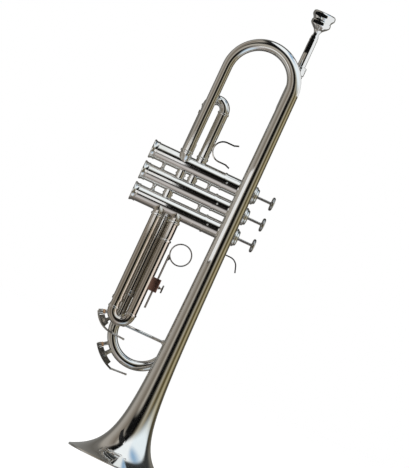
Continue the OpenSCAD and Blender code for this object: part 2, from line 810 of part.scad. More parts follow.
module third_inner_tube() {
    color("silver") {
        knuckle(third_high, third_start - join, 3, 1, -90);
        tube_between(third_high, leg_r, leg_bore, third_bow_z + 14, third_start);
        tube_between(third_high, sleeve_r, leg_r - tube_wall / 2,
                     third_sleeve_start + third_travel_gap, third_start);
    }
}

module third_lower_sleeve() {
    color("silver") {
        knuckle(third_low, third_start - join, 3, 1, -90);
        lower_sleeve(third_low, third_start, third_bow_z + 10, 4);
    }
}

module third_slide_tubes() {
    color("silver") {
        tube_between(third_high, sleeve_r, sleeve_bore, third_bow_z, third_sleeve_start);
        tube_between(third_high, ferrule_r, sleeve_r - tube_wall / 2,
                     third_sleeve_start - 1.8, third_sleeve_start);
        tube_between(third_low, leg_r, leg_bore, third_bow_z, third_start - 6);
        tube_between(third_low, sleeve_r, leg_r - tube_wall / 2, third_bow_z, third_bow_z + 5);
    }
}

module third_slide_bow() {
    color("silver") difference() {
        u_bow(third_high, third_low, third_bow_z, -1, bow_tube_r, bow_tube_r - tube_wall);
        third_key_frame() along(key_angle_third, 0) cylinder(r = 1.4, h = third_rim_r + 1);
    }
}

rod_x = third_high[0] + sleeve_r + 4.8;
rod_low = third_bow_z + 15;
rod_high = rod_low + rod_len;
clamp_low = rod_low + 20.3;
clamp_len = 15.8;
clamp_top_x = rod_x + 4.4;
clamp_w = 7;
screw_z = clamp_low + 6.8;
screw_r = 1;

module ring_clamp() {
    color("sienna") difference() {
        translate([third_high[0] + sleeve_r - 1, third_high[1] - clamp_w / 2, clamp_low])
            cube([clamp_top_x - third_high[0] - sleeve_r + 1, clamp_w, clamp_len]);
        translate([third_high[0], third_high[1], clamp_low - 1]) cylinder(r = sleeve_r, h = clamp_len + 2);
        translate([rod_x, third_high[1], clamp_low - 1]) cylinder(d = rod_d + 2 * fit, h = clamp_len + 2);
        translate([rod_x, third_high[1], screw_z]) rotate([0, 90, 0])
            cylinder(r = screw_r + fit, h = 10);
    }
}

module clamp_screw() {
    head_low = clamp_top_x + 3.8;
    tip = rod_x + rod_d / 2 + fit;
    color("silver") translate([0, third_high[1], screw_z]) {
        translate([tip, 0, 0]) rotate([0, 90, 0]) cylinder(r = screw_r, h = head_low - tip + 1);
        translate([clamp_top_x + 0.4, 0, 0]) rotate([0, 90, 0]) cylinder(r1 = 2.2, r2 = screw_r, h = 1.8);
        difference() {
            translate([head_low, 0, 0]) rotate([0, 90, 0]) cylinder(r = 4.75, h = 1.9);
            for (side = [-1, 1]) translate([head_low - 1, side * 11.6, -6])
                translate([0, side > 0 ? -10 : 0, 0]) cube([4, 10, 12]);
        }
    }
}

ring_z = rod_high - 1 + 6;
ring_mid_r = ring_r + ring_wire_d / 2;

module finger_ring() {
    y = third_high[1];
    x = rod_x + ring_mid_r - 0.4;
    color("silver") {
        translate([x, y, ring_z]) rotate([90, 0, 0]) rotate_extrude()
            translate([ring_mid_r, 0]) circle(d = ring_wire_d);
        difference() {
            union() {
                translate([rod_x, y, rod_low]) cylinder(d = rod_d, h = rod_len);
                translate([rod_x - 0.3, y + 0.7, 0]) rotate([90, 0, 0]) linear_extrude(1.4)
                    polygon([[0, rod_high - 9], [0, rod_high], [3.9, rod_high], [4.6, rod_high - 2.4]]);
            }
            translate([x, y - 5, ring_z]) rotate([-90, 0, 0]) cylinder(r = ring_mid_r, h = 10);
        }
    }
}

// ---- first slide ----

first_sleeve_start = first_start + 9.2;

module first_inner_tube() {
    ferrule_top = first_sleeve_start - 1;
    color("silver") difference() {
        union() {
            translate([first_high[0], valve_y, valve_zs[0]])
                cylinder(r = leg_r, h = first_bow_z - 8 - valve_zs[0]);
            translate([first_high[0], valve_y, valve_zs[0]])
                cylinder(r = sleeve_r + 0.2, h = ferrule_top - valve_zs[0]);
        }
        translate([first_high[0], valve_y, valve_zs[0] - 1])
            cylinder(r = leg_bore, h = first_bow_z - valve_zs[0]);
        casing_solid(valve_zs[0]);
    }
}

module first_lower_sleeve() {
    color("silver") {
        knuckle(first_low, first_start, 1, -1, 90);
        lower_sleeve(first_low, first_start - join, first_bow_z - 8, 4);
    }
}

module first_slide() {
    color("silver") {
        tube_between(first_high, sleeve_r, sleeve_bore, first_sleeve_start, first_bow_z);
        tube_between(first_low, leg_r, leg_bore, first_start + 6, first_bow_z);
        tube_between(first_low, sleeve_r, leg_r - tube_wall / 2, first_bow_z - 4, first_bow_z);
        u_bow(first_high, first_low, first_bow_z, 1, bow_tube_r, bow_tube_r - tube_wall);
    }
}

saddle_z = first_sleeve_start + 8.7;
saddle_t = 1.7;

module thumb_saddle() {
    mid = saddle_r + saddle_t / 2;
    x0 = first_high[0] + sleeve_r - 0.6 + saddle_r + saddle_t;
    arm = 9.5;
    color("silver") difference() {
        translate([x0, valve_y, saddle_z]) {
            rotate([90, 0, 0]) rotate([0, 0, 90]) rotate_extrude(angle = 180)
                translate([saddle_r, -saddle_w / 2]) square([saddle_t, saddle_w]);
            for (side = [0, 1]) mirror([0, 0, side]) translate([0, -saddle_w / 2, 0]) {
                translate([-join, 0, saddle_r]) cube([arm + join, saddle_w, saddle_t]);
                translate([arm - 0.6, 0, saddle_r + 0.1]) rotate([0, -20, 0])
                    cube([5.6, saddle_w, saddle_t]);
            }
        }
        translate([first_high[0], valve_y, saddle_z - 30]) cylinder(r = sleeve_r, h = 60);
    }
}

// ---- second slide ----

second_mid_x = -66;
second_xs = [second_mid_x + second_gap / 2, second_mid_x - second_gap / 2];
second_end_y = valve_y + casing_r + second_sleeve_len;
second_bow_y = second_end_y + 3;

// Children drawn along +Z point away from the valve along +Y
module on_second(x, y) {
    translate([x, y, valve_zs[1]]) rotate([-90, 0, 0]) children();
}

module second_sleeves() {
    color("silver") difference() {
        for (x = second_xs) on_second(x, valve_y) difference() {
            union() {
                cylinder(r = sleeve_r, h = second_end_y - valve_y);
                translate([0, 0, second_end_y - valve_y - 3]) cylinder(r = ferrule_r, h = 3);
            }
            translate([0, 0, -1]) cylinder(r = sleeve_bore, h = second_end_y);
        }
        casing_solid(valve_zs[1]);
    }
}

module second_slide() {
    inner = valve_y + casing_r + 4;
    knob_y = second_bow_y + second_gap / 2 + bow_tube_r;
    color("silver") {
        for (x = second_xs) {
            on_second(x, inner) tube(leg_r, leg_bore, second_bow_y - inner);
            on_second(x, second_end_y + 0.6) tube(sleeve_r, leg_r - tube_wall / 2, second_bow_y - second_end_y - 0.6);
        }
        on_second(second_mid_x, second_bow_y) rotate([-90, 0, 0]) mirror([0, 1, 0])
            rotate_extrude(angle = 180) translate([second_gap / 2, 0])
                ring2d(bow_tube_r, bow_tube_r - tube_wall);
        difference() {
            on_second(second_mid_x, knob_y - 2) union() {
                cylinder(r = 1.8, h = 5);
                translate([0, 0, 3.4]) cylinder(r = 3.6, h = 2.4);
            }
            translate([second_mid_x, second_bow_y, valve_zs[1]])
                rotate_extrude() translate([second_gap / 2, 0]) circle(r = bow_tube_r);
        }
    }
}

// ---- pinky hook on the leadpipe ----

hook_z = valve_zs[2] - 22.4;
hook_r = 11;
hook_reach = 12.5;
hook_wire = 1.5;

module pinky_hook() {
    x_foot = lead_x + lead_low_r;
    color("silver") difference() {
        translate([x_foot, lead_y - 2.4, hook_z]) {
            translate([-2, 0, -3.2]) cube([2.9, 4.8, 6.4]);
            translate([0, 0, -hook_wire / 2]) cube([hook_reach, 4.8, hook_wire]);
            translate([hook_reach, 0, -hook_r]) rotate([-90, 0, 0]) rotate([0, 0, -90])
                rotate_extrude(angle = 72) translate([hook_r - hook_wire / 2, 0]) square([hook_wire, 4.8]);
            translate([hook_reach + hook_r * sin(72), 0, -hook_r + hook_r * cos(72)]) rotate([0, 72, 0])
                translate([-0.5, 0, -hook_wire / 2]) cube([7.5, 4.8, hook_wire]);
        }
        translate([lead_x, lead_y, hook_z - 20]) cylinder(r = sleeve_r, h = 40);
    }
}

// ---- mouthpiece ----

module mouthpiece() {
    top = receiver_z + mouthpiece_len;
    rim_r = rim_d / 2;
    cup_r = cup_d / 2;
    neck_z = top - 24.8;
    throat_z = top - 16;
    tip_z = receiver_z - shank_in;
    color("silver") translate([lead_x, lead_y, 0]) rotate_extrude() polygon([
        [rim_r - 2.6, top], [rim_r - 0.8, top - 1], [rim_r, top - 2.6], [rim_r, top - 5.6],
        [rim_r - 0.9, top - 7], [rim_r - 2.4, top - 9.2], [rim_r - 2.7, top - 10.4],
        [rim_r - 1.9, top - 11.4], [rim_r - 1.8, top - 14.8], [rim_r - 3, top - 16.6],
        [rim_r - 6, top - 19.4], [rim_r - 8.6, top - 21.6], [3.4, neck_z - 0.4],
        [3.2, neck_z - 2], [4.1, neck_z - 4.2], [4.6, neck_z - 5.6], [4.2, neck_z - 7],
        [4.9, neck_z - 8.4], [4.5, neck_z - 10.4], [4.75, neck_z - 14],
        [shank_mouth_r, receiver_z], [shank_tip_r, tip_z],
        [shank_tip_r - 0.6, tip_z], [throat_d / 2, throat_z - 14], [throat_d / 2, throat_z],
        [cup_r - 4.4, top - 11.6], [cup_r - 1.6, top - 7.4], [cup_r - 0.3, top - 3],
        [cup_r, top - 1.2], [cup_r + 1, top - 0.2], [cup_r + 1.8, top]]);
}

// ---- one module per repeated node ----

module piston_1() { piston(valve_zs[0]); }
module piston_2() { piston(valve_zs[1]); }
module piston_3() { piston(valve_zs[2]); }
module valve_stem_1() { valve_stem(valve_zs[0]); }
module valve_stem_2() { valve_stem(valve_zs[1]); }
module valve_stem_3() { valve_stem(valve_zs[2]); }
module button_pearl_1() { button_pearl(valve_zs[0]); }
module button_pearl_2() { button_pearl(valve_zs[1]); }
module button_pearl_3() { button_pearl(valve_zs[2]); }
module stem_felt_1() { stem_felt(valve_zs[0]); }
module stem_felt_2() { stem_felt(valve_zs[1]); }
module stem_felt_3() { stem_felt(valve_zs[2]); }
module valve_spring_1() { valve_spring(valve_zs[0]); }
module valve_spring_2() { valve_spring(valve_zs[1]); }
module valve_spring_3() { valve_spring(valve_zs[2]); }

bell_flare();
bell_stem();
bell_rim_bead();
bell_bow();
bell_tail();
bell_braces();
valve_casing_1();
valve_casing_2();
valve_casing_3();
valve_balusters();
top_caps();
bottom_caps();
casing_braces();
valve_knuckles();
valve_guides();
leadpipe();
mouthpiece_receiver();
tuning_upper_sleeve();
tuning_lower_sleeve();
third_inner_tube();
third_lower_sleeve();
first_inner_tube();
first_lower_sleeve();
second_sleeves();
pinky_hook();
piston_1();
piston_2();
piston_3();
valve_stem_1();
valve_stem_2();
valve_stem_3();
button_pearl_1();
button_pearl_2();
button_pearl_3();
stem_felt_1();
stem_felt_2();
stem_felt_3();
valve_spring_1();
valve_spring_2();
valve_spring_3();
tuning_legs();
tuning_bow();
tuning_brace();
main_key_mount();
main_key_lever();
main_key_cork();
main_key_spring();
third_slide_tubes();
third_slide_bow();
ring_clamp();
clamp_screw();
finger_ring();
third_key_mount();
third_key_lever();
third_key_cork();
third_key_spring();
first_slide();
thumb_saddle();
second_slide();
mouthpiece();
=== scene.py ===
"""A B flat trumpet: its finishes, its smooth and fine pieces, and the studio that it stands in."""

import logging
import math
from dataclasses import dataclass, field
from enum import Enum
from typing import Callable, Sequence

import bpy
from mathutils import Matrix, Vector


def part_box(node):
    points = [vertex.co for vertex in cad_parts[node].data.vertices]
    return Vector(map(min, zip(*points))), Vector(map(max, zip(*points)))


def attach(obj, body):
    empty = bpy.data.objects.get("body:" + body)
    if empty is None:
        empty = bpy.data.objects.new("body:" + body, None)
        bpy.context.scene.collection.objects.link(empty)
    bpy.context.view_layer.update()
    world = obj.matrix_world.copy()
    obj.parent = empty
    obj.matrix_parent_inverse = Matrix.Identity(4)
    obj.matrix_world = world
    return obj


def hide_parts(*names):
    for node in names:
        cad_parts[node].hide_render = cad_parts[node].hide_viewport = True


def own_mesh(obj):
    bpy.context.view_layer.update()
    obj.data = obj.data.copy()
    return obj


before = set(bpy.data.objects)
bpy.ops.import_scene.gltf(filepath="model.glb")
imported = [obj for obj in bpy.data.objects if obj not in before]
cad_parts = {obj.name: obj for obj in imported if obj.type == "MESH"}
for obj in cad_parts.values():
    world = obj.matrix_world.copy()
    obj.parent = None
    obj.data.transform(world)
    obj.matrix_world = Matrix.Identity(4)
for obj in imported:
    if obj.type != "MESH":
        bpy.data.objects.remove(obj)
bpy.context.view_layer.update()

MM = 0.001
MERGE = 0.002 * MM  # vertices nearer to each other than this become one
FLAT_DEG = 0.6  # faces that meet at a smaller angle become one
WHITE = (1.0, 1.0, 1.0, 1.0)
LOG = logging.getLogger("trumpet")
Point = Sequence[float]
Colour = tuple[float, float, float]
Row = tuple[float, float, float, float]


class Axis(Enum):
    """A direction of the trumpet's own frame."""

    X = Vector((1.0, 0.0, 0.0))
    Y = Vector((0.0, 1.0, 0.0))
    Z = Vector((0.0, 0.0, 1.0))


# ---- shader maths ----


@dataclass(frozen=True)
class Num:
    """A number or colour socket; arithmetic on it adds Math nodes."""

    shader: "Shader"
    socket: bpy.types.NodeSocket | None

    def _maths(self, operation: str, *terms: "Num | float") -> "Num":
        """Adds one Math node over the terms."""
        return self.shader.add("Math", {"operation": operation}, *terms)

    def __add__(self, other: "Num | float") -> "Num":
        """self + other."""
        return self._maths("ADD", self, other)

    def __sub__(self, other: "Num | float") -> "Num":
        """self - other."""
        return self._maths("SUBTRACT", self, other)

    def __mul__(self, other: "Num | float") -> "Num":
        """self * other."""
        return self._maths("MULTIPLY", self, other)

    def step(self, low: float, high: float) -> "Num":
        """A smooth step from 0 at low to 1 at high."""
        ramp = {"interpolation_type": "SMOOTHSTEP"}
        return self.shader.add("MapRange", ramp, self, low, high, 0.0, 1.0)


class Shader:
    """A node tree that is written as expressions."""

    def __init__(self, tree: bpy.types.NodeTree) -> None:
        """Empties the tree.

        Args:
            tree: the material's or the world's node tree.
        """
        self.tree = tree
        tree.nodes.clear()

    def add(self, kind: str, settings: dict | None = None, *values: object,
            out: int | str = 0, **named: object) -> Num:
        """Adds one node.

        Args:
            kind: the node's type, without the words ShaderNode.
            settings: what is set on the node before its sockets are filled.
            values: numbers, colours or sockets for the inputs in order; None skips one.
            out: the output that the result stands for.
            named: the same for inputs by name, with _ for a space.

        Returns:
            The output socket, wrapped.
        """
        node = self.tree.nodes.new("ShaderNode" + kind)
        for key, value in (settings or {}).items():
            setattr(node, key, value)
        pairs = [(i, v) for i, v in enumerate(values) if v is not None]
        pairs += [(key.replace("_", " "), v) for key, v in named.items()]
        for key, value in pairs:
            if isinstance(value, Num):
                self.tree.links.new(value.socket, node.inputs[key])
            else:
                node.inputs[key].default_value = value
        return Num(self, node.outputs[out] if node.outputs else None)

    def mix(self, share: "Num | float", first: object, second: object) -> Num:
        """Mixes two colours: first at share 0, second at share 1."""
        ends = (opaque(end) if isinstance(end, tuple) else end for end in (first, second))
        return self.add("Mix", {"data_type": "RGBA"}, share, *[None] * 5, *ends, out=2)

    def ramp(self, share: Num, stops: Sequence[tuple[float, Colour]]) -> Num:
        """Colours along a line of stops, from 0 to 1."""
        node = self.tree.nodes.new("ShaderNodeValToRGB")
        line = node.color_ramp.elements
        while len(line) < len(stops):
            line.new(1.0)
        for mark, (at, colour) in zip(line, stops):
            mark.position, mark.color = at, opaque(colour)
        self.tree.links.new(share.socket, node.inputs[0])
        return Num(self, node.outputs[0])

    def places(self, stretch: Point = (1.0, 1.0, 1.0)) -> Num:
        """Object coordinates, stretched per axis."""
        here = self.add("TexCoord", out="Object")
        return self.add("Mapping", None, here, Scale=tuple(stretch))

    def noise(self, where: Num, scale: float, detail: float = 2.0, rough: float = 0.5) -> Num:
        """Soft noise between 0 and 1."""
        return self.add("TexNoise", None, where, Scale=scale, Detail=detail, Roughness=rough)


def opaque(colour: Colour) -> tuple[float, float, float, float]:
    """A colour with its alpha."""
    return (*colour, 1.0)


def shown(colour: Sequence[float]) -> Colour:
    """The light that a screen shows as this colour, which is given in percent."""
    parts = (percent / 100.0 for percent in colour)
    return tuple(c / 12.92 if c < 0.04045 else ((c + 0.055) / 1.055) ** 2.4 for c in parts)


def painted(name: str, surface: Callable[[Shader], Num]) -> bpy.types.Material:
    """Makes a material.

    Args:
        name: its name.
        surface: draws its surface with a shader and returns the last node.

    Returns:
        The finished material.
    """
    made = bpy.data.materials.new(name)
    made.use_nodes = True
    s = Shader(made.node_tree)
    s.add("OutputMaterial", None, surface(s))
    return made


# ---- finishes ----


@dataclass(frozen=True)
class Stuff:
    """What a finish is made of."""

    name: str

    def surface(self, s: Shader) -> Num:
        """Draws the surface with a shader and returns the last node."""
        raise NotImplementedError

    def material(self) -> bpy.types.Material:
        """Builds the material."""
        return painted(self.name, self.surface)


@dataclass(frozen=True)
class Plate(Stuff):
    """Polished plate: a mirror with handling haze, polishing lines and a warm tarnish in places."""

    colour: Colour = (0.90, 0.895, 0.88)
    tarnish: Colour = (0.62, 0.56, 0.44)
    tarnish_share: float = 0.22
    gloss: float = 0.045
    haze: float = 0.10
    lines: Point = (900.0, 900.0, 40.0)
    relief: float = 0.00001

    def surface(self, s: Shader) -> Num:
        """Draws the plate."""
        here = s.places()
        cloud = s.noise(here, 26.0, 4.0, 0.6)
        freckle = s.noise(here, 240.0, 3.0, 0.65)
        drawn = s.noise(s.places(self.lines), 1.0, 2.0, 0.6)
        spots = freckle.step(0.60, 0.78) * cloud.step(0.42, 0.66)
        worn = cloud.step(0.50, 0.74) * self.tarnish_share + spots * 0.16
        skin = s.mix(worn, self.colour, self.tarnish)
        haze = cloud.step(0.38, 0.78) * self.haze + drawn * 0.03 + spots * 0.12
        bumps = s.add("Bump", None, 0.35, self.relief, Height=drawn * 0.4 + cloud * 1.4)
        return s.add("BsdfPrincipled", None, skin, Metallic=1.0, Roughness=haze + self.gloss,
                     Normal=bumps)


@dataclass(frozen=True)
class Lapped(Stuff):
    """Lapped piston metal: satin, with fine crossed honing lines."""

    colour: Colour = (0.72, 0.715, 0.70)
    worn: Colour = (0.50, 0.48, 0.43)
    gloss: float = 0.20

    def surface(self, s: Shader) -> Num:
        """Draws the lapped metal."""
        one = s.noise(s.places((60.0, 2600.0, 2600.0)), 1.0, 3.0)
        two = s.noise(s.places((2600.0, 90.0, 2600.0)), 1.0, 3.0)
        cloud = s.noise(s.places(), 60.0, 3.0)
        skin = s.mix(cloud.step(0.4, 0.8) * 0.3, self.colour, self.worn)
        bumps = s.add("Bump", None, 0.3, 0.00001, Height=one + two)
        return s.add("BsdfPrincipled", None, skin, Metallic=1.0,
                     Roughness=one * 0.16 + two * 0.10 + self.gloss, Normal=bumps)


@dataclass(frozen=True)
class Pearl(Stuff):
    """Mother-of-pearl: cloudy cream with pink and green bands under a clear polish."""

    cream: Colour = (0.86, 0.83, 0.77)
    green: Colour = (0.78, 0.82, 0.80)
    pink: Colour = (0.88, 0.76, 0.74)
    white: Colour = (0.95, 0.94, 0.90)

    def surface(self, s: Shader) -> Num:
        """Draws the pearl."""
        warp = s.noise(s.places(), 130.0, 3.0, 0.6)
        bands = s.noise(s.places((300.0, 90.0, 220.0)), 1.6, 4.0, 0.6)
        glow = s.mix(warp.step(0.35, 0.62), self.cream, self.green)
        glow = s.mix(bands.step(0.48, 0.70) * 0.8, glow, self.pink)
        glow = s.mix((bands * warp).step(0.26, 0.40) * 0.6, glow, self.white)
        bumps = s.add("Bump", None, 0.2, 0.00002, Height=bands)
        return s.add("BsdfPrincipled", None, glow, Roughness=bands * 0.15 + 0.16,
                     Coat_Weight=1.0, Coat_Roughness=0.05, Normal=bumps)


@dataclass(frozen=True)
class Soft(Stuff):
    """A matt, fibrous or granular stuff: felt or cork."""

    colour: Colour
    fleck: Colour
    grain: float
    relief: float

    def surface(self, s: Shader) -> Num:
        """Draws the fibres or grains."""
        here = s.places()
        fine = s.noise(here, self.grain, 4.0, 0.7)
        cells = s.add("TexVoronoi", None, here, Scale=self.grain * 0.7)
        skin = s.mix(fine.step(0.42, 0.62), self.colour, self.fleck)
        bumps = s.add("Bump", None, 0.8, self.relief, Height=fine + cells * 0.6)
        return s.add("BsdfPrincipled", None, skin, Roughness=fine * 0.1 + 0.82, Normal=bumps)


class Finish(Enum):
    """The finishes of this trumpet, each under the record's slot name; two are darker copies of the
    plate whose darkness is painted shade.
    """

    PLATE = ("plate", Plate("plate_silver"))
    # Darker, browner copy of the polished plate for the slides and the thumb rest: its overall
    # darkness is painted shade for their dark reflections; its clouded tarnish is real wear.
    WORN = ("plate", Plate("plate_worn_and_shaded", (0.70, 0.66, 0.61), (0.46, 0.38, 0.29), 0.45, 0.07, 0.13))
    # Dark copy of the polished plate for the valve stems and the finger ring: its darkness is
    # painted shade; its clouded tarnish is real wear.
    DARK = ("plate", Plate("plate_shaded_dark", (0.40, 0.39, 0.38), (0.22, 0.20, 0.17), 0.5, 0.08, 0.12))
    SATIN = ("plate", Plate("plate_satin", (0.74, 0.72, 0.69), (0.42, 0.36, 0.28), 0.5, 0.26,
                            0.14))
    CASING = ("casing_metal", Plate("plate_casing", lines=(60.0, 700.0, 700.0), haze=0.08))
    CLAMP = ("clamp_metal", Plate("clamp_dark", (0.30, 0.17, 0.14), (0.12, 0.07, 0.06), 0.6, 0.22,
                                  0.2))
    STEEL = ("spring_steel", Plate("spring_steel", (0.52, 0.51, 0.50), (0.30, 0.25, 0.2), 0.3, 0.2,
                                   0.1))
    BRASS = ("guide_brass", Plate("guide_brass", (0.80, 0.58, 0.26), (0.40, 0.26, 0.10), 0.4, 0.2,
                                  0.15))
    PISTON = ("piston_metal", Lapped("piston_metal"))
    PEARL = ("pearl", Pearl("pearl_inlay"))
    FELT = ("felt", Soft("felt_white", (0.62, 0.60, 0.55), (0.46, 0.43, 0.38), 2600.0, 0.0002))
    CORK = ("cork", Soft("cork_brown", (0.45, 0.28, 0.15), (0.16, 0.085, 0.05), 1300.0, 0.0001))

    @property
    def slot(self) -> str:
        """The record's name of the material slot."""
        return self.value[0]


class Wardrobe:
    """Makes each finish once and dresses pieces in it."""

    def __init__(self) -> None:
        """Starts with no material made."""
        self._made: dict[Finish, bpy.types.Material] = {}

    def dress(self, piece: bpy.types.Object, finish: Finish) -> None:
        """Gives a piece one finish all over.

        Args:
            piece: a mesh object.
            finish: the finish that it takes.
        """
        if finish not in self._made:
            self._made[finish] = finish.value[1].material()
        if not piece.material_slots:
            piece.data.materials.append(self._made[finish])
        for place in piece.material_slots:
            place.material = self._made[finish]


WARDROBE = Wardrobe()
NODE_FINISHES: dict[Finish, tuple[str, ...]] = {
    Finish.CASING: ("valve_casing", "valve_balusters"),
    Finish.PISTON: ("piston",),
    Finish.PEARL: ("button_pearl",),
    Finish.FELT: ("stem_felt",),
    Finish.STEEL: ("valve_spring", "main_key_spring", "third_key_spring"),
    Finish.BRASS: ("valve_guides",),
    Finish.CORK: ("main_key_cork", "third_key_cork"),
    Finish.CLAMP: ("ring_clamp",),
    # The slides and the thumb rest take the darker plate copy: painted shade over real tarnish.
    Finish.WORN: ("third_slide", "third_inner", "third_lower", "thumb_saddle", "first_lower"),
    Finish.SATIN: ("third_key_lever", "third_key_mount", "main_key_lever", "main_key_mount"),
    # The valve stems and the finger ring take the dark plate copy: painted shade.
    Finish.DARK: ("valve_stem", "finger_ring"),
}


def finish_of(node: str) -> Finish:
    """The finish of a CAD node, by the start of its name."""
    found = (finish for finish, starts in NODE_FINISHES.items() if node.startswith(starts))
    return next(found, Finish.PLATE)


def dress_cad() -> int:
    """Dresses every CAD node and returns how many there are."""
    for name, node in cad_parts.items():
        WARDROBE.dress(node, finish_of(name))
    return len(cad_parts)


# ---- modelling bench ----


def at(x: float, y: float, z: float) -> Vector:
    """A place given in millimetres, in metres."""
    return Vector((x, y, z)) * MM


def box_of(node: str, unit: float = MM) -> tuple[Vector, Vector]:
    """The low and high corners of a CAD node's box, in millimetres or in another unit."""
    low, high = (Vector(corner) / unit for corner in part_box(node))
    return low, high


def rounded(points: Sequence[Point], radius: float, steps: int = 4,
            loop: bool = True) -> list[tuple[float, float]]:
    """Rounds the corners of an outline.

    Args:
        points: the corners.
        radius: how far from a corner its rounding starts, at most.
        steps: how many pieces a corner's curve has.
        loop: whether the last corner is joined to the first.

    Returns:
        The points of the rounded outline.
    """
    corners = [Vector(p) for p in points]
    made: list[tuple[float, float]] = []
    for i, here in enumerate(corners):
        if not loop and i in (0, len(corners) - 1):
            made.append(tuple(here))
            continue
        back, on = corners[i - 1] - here, corners[(i + 1) % len(corners)] - here
        start = here + back.normalized() * min(radius, 0.45 * back.length)
        end = here + on.normalized() * min(radius, 0.45 * on.length)
        for k in range(steps + 1):
            s = k / steps
            made.append(tuple(start * (1 - s) ** 2 + here * 2 * s * (1 - s) + end * s * s))
    return made


class Bench:
    """Blender's own modelling tools, worked one piece at a time in the trumpet's frame."""

    @staticmethod
    def clear() -> None:
        """Leaves edit mode and lets go of everything."""
        if bpy.context.object and bpy.context.object.mode != "OBJECT":
            bpy.ops.object.mode_set(mode="OBJECT")
        bpy.ops.object.select_all(action="DESELECT")

    @staticmethod
    def pick(piece: bpy.types.Object) -> None:
        """Selects one piece alone and makes it active."""
        Bench.clear()
        bpy.context.view_layer.objects.active = piece
        piece.select_set(True)

    @staticmethod
    def begin(name: str, mode: str) -> bpy.types.Object:
        """Names a new primitive, puts its place into its mesh and opens it, all selected."""
        piece = bpy.context.active_object
        piece.name = piece.data.name = name
        bpy.ops.object.transform_apply(location=True, rotation=True, scale=True)
        bpy.ops.object.mode_set(mode="EDIT")
        bpy.ops.mesh.select_mode(type=mode)
        bpy.ops.mesh.select_all(action="SELECT")
        return piece

    @staticmethod
    def tidy() -> None:
        """Merges doubles and turns all faces outwards."""
        bpy.ops.mesh.select_all(action="SELECT")
        bpy.ops.mesh.remove_doubles(threshold=MERGE)
        bpy.ops.mesh.normals_make_consistent(inside=False)

    @staticmethod
    def modify(piece: bpy.types.Object, kind: str, **settings: object) -> None:
        """Adds one modifier and applies it.

        Args:
            piece: the mesh object.
            kind: the modifier's type.
            settings: its settings.
        """
        Bench.pick(piece)
        added = piece.modifiers.new(kind.lower(), kind)
        for key, value in settings.items():
            setattr(added, key, value)
        bpy.ops.object.modifier_apply(modifier=added.name)

    @staticmethod
    def turned(name: str, profile: Sequence[Point], centre: Point, axis: Axis = Axis.Z,
               steps: int = 96, loop: bool = True) -> bpy.types.Object:
        """Turns a profile about an axis, as on a lathe.

        Args:
            name: the piece's name.
            profile: points of radius and height along the axis, in millimetres.
            centre: where the axis starts, in millimetres.
            axis: the axis of turning.
            steps: how many sides the round has.
            loop: whether the profile closes on itself.

        Returns:
            The turned piece.
        """
        out = Axis.Y.value if axis is Axis.X else Axis.X.value
        base = at(*centre)
        places = [base + (out * r + axis.value * h) * MM for r, h in profile]
        if loop:
            places.append(places[0])
        Bench.clear()
        bpy.ops.mesh.primitive_plane_add(size=MM, location=places[0])
        piece = Bench.begin(name, "VERT")
        bpy.ops.mesh.merge(type="CENTER")
        for before, here in zip(places, places[1:]):
            bpy.ops.mesh.extrude_vertices_move(TRANSFORM_OT_translate={"value": here - before})
        bpy.ops.mesh.select_all(action="SELECT")
        bpy.ops.mesh.spin(steps=steps, angle=2 * math.pi, center=base, axis=axis.value)
        Bench.tidy()
        Bench.clear()
        return piece

    @staticmethod
    def together(name: str, parts: Sequence[bpy.types.Object]) -> bpy.types.Object:
        """Joins the parts of one kind into one piece."""
        Bench.pick(parts[0])
        for part in parts:
            part.select_set(True)
        if len(parts) > 1:
            bpy.ops.object.join()
        parts[0].name = parts[0].data.name = name
        return parts[0]

    @staticmethod
    def worked_copy(node: str, name: str, width: float, segments: int = 2,
                    angle: float = 34) -> bpy.types.Object:
        """A copy of a CAD node with merged corners and rounded edges.

        Args:
            node: the CAD node.
            name: the new piece's name.
            width: the width of the rounded edges in millimetres.
            segments: how finely they are rounded.
            angle: the smallest edge angle that is rounded, in degrees.

        Returns:
            The new piece.
        """
        piece = bpy.data.objects.new(name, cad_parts[node].data.copy())
        piece.data.name = name
        bpy.context.collection.objects.link(piece)
        Bench.pick(piece)
        if piece.data.has_custom_normals:
            bpy.ops.mesh.customdata_custom_splitnormals_clear()
        bpy.ops.object.mode_set(mode="EDIT")
        bpy.ops.mesh.select_all(action="SELECT")
        bpy.ops.mesh.remove_doubles(threshold=MERGE)
        bpy.ops.mesh.dissolve_limited(angle_limit=math.radians(FLAT_DEG))
        bpy.ops.object.mode_set(mode="OBJECT")
        Bench.modify(piece, "BEVEL", width=width * MM, segments=segments, limit_method="ANGLE",
                     angle_limit=math.radians(angle), use_clamp_overlap=True)
        return piece


def middle_of(node: str) -> Vector:
    """The middle of a CAD node's box, in millimetres."""
    low, high = box_of(node, 1.0)
    return (low + high) / 2 / MM


def fit(piece: bpy.types.Object, body: str, *nodes: str, finish: Finish = Finish.PLATE,
        smooth: float = 38) -> None:
    """Smooths and dresses a finished piece and puts it on its body.

    Args:
        piece: the finished piece.
        body: the CAD body that it rides on.
        nodes: the CAD nodes that it stands for.
        finish: its finish.
        smooth: the largest angle that is shaded smooth, in degrees.
    """
    Bench.pick(piece)
    bpy.ops.object.shade_smooth_by_angle(angle=math.radians(smooth))
    WARDROBE.dress(piece, finish)
    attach(piece, body)
    if nodes:
        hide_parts(*nodes)
    LOG.info("%s on %s, %d faces", piece.name, body, len(piece.data.polygons))


# ---- sub-assemblies, in millimetres ----


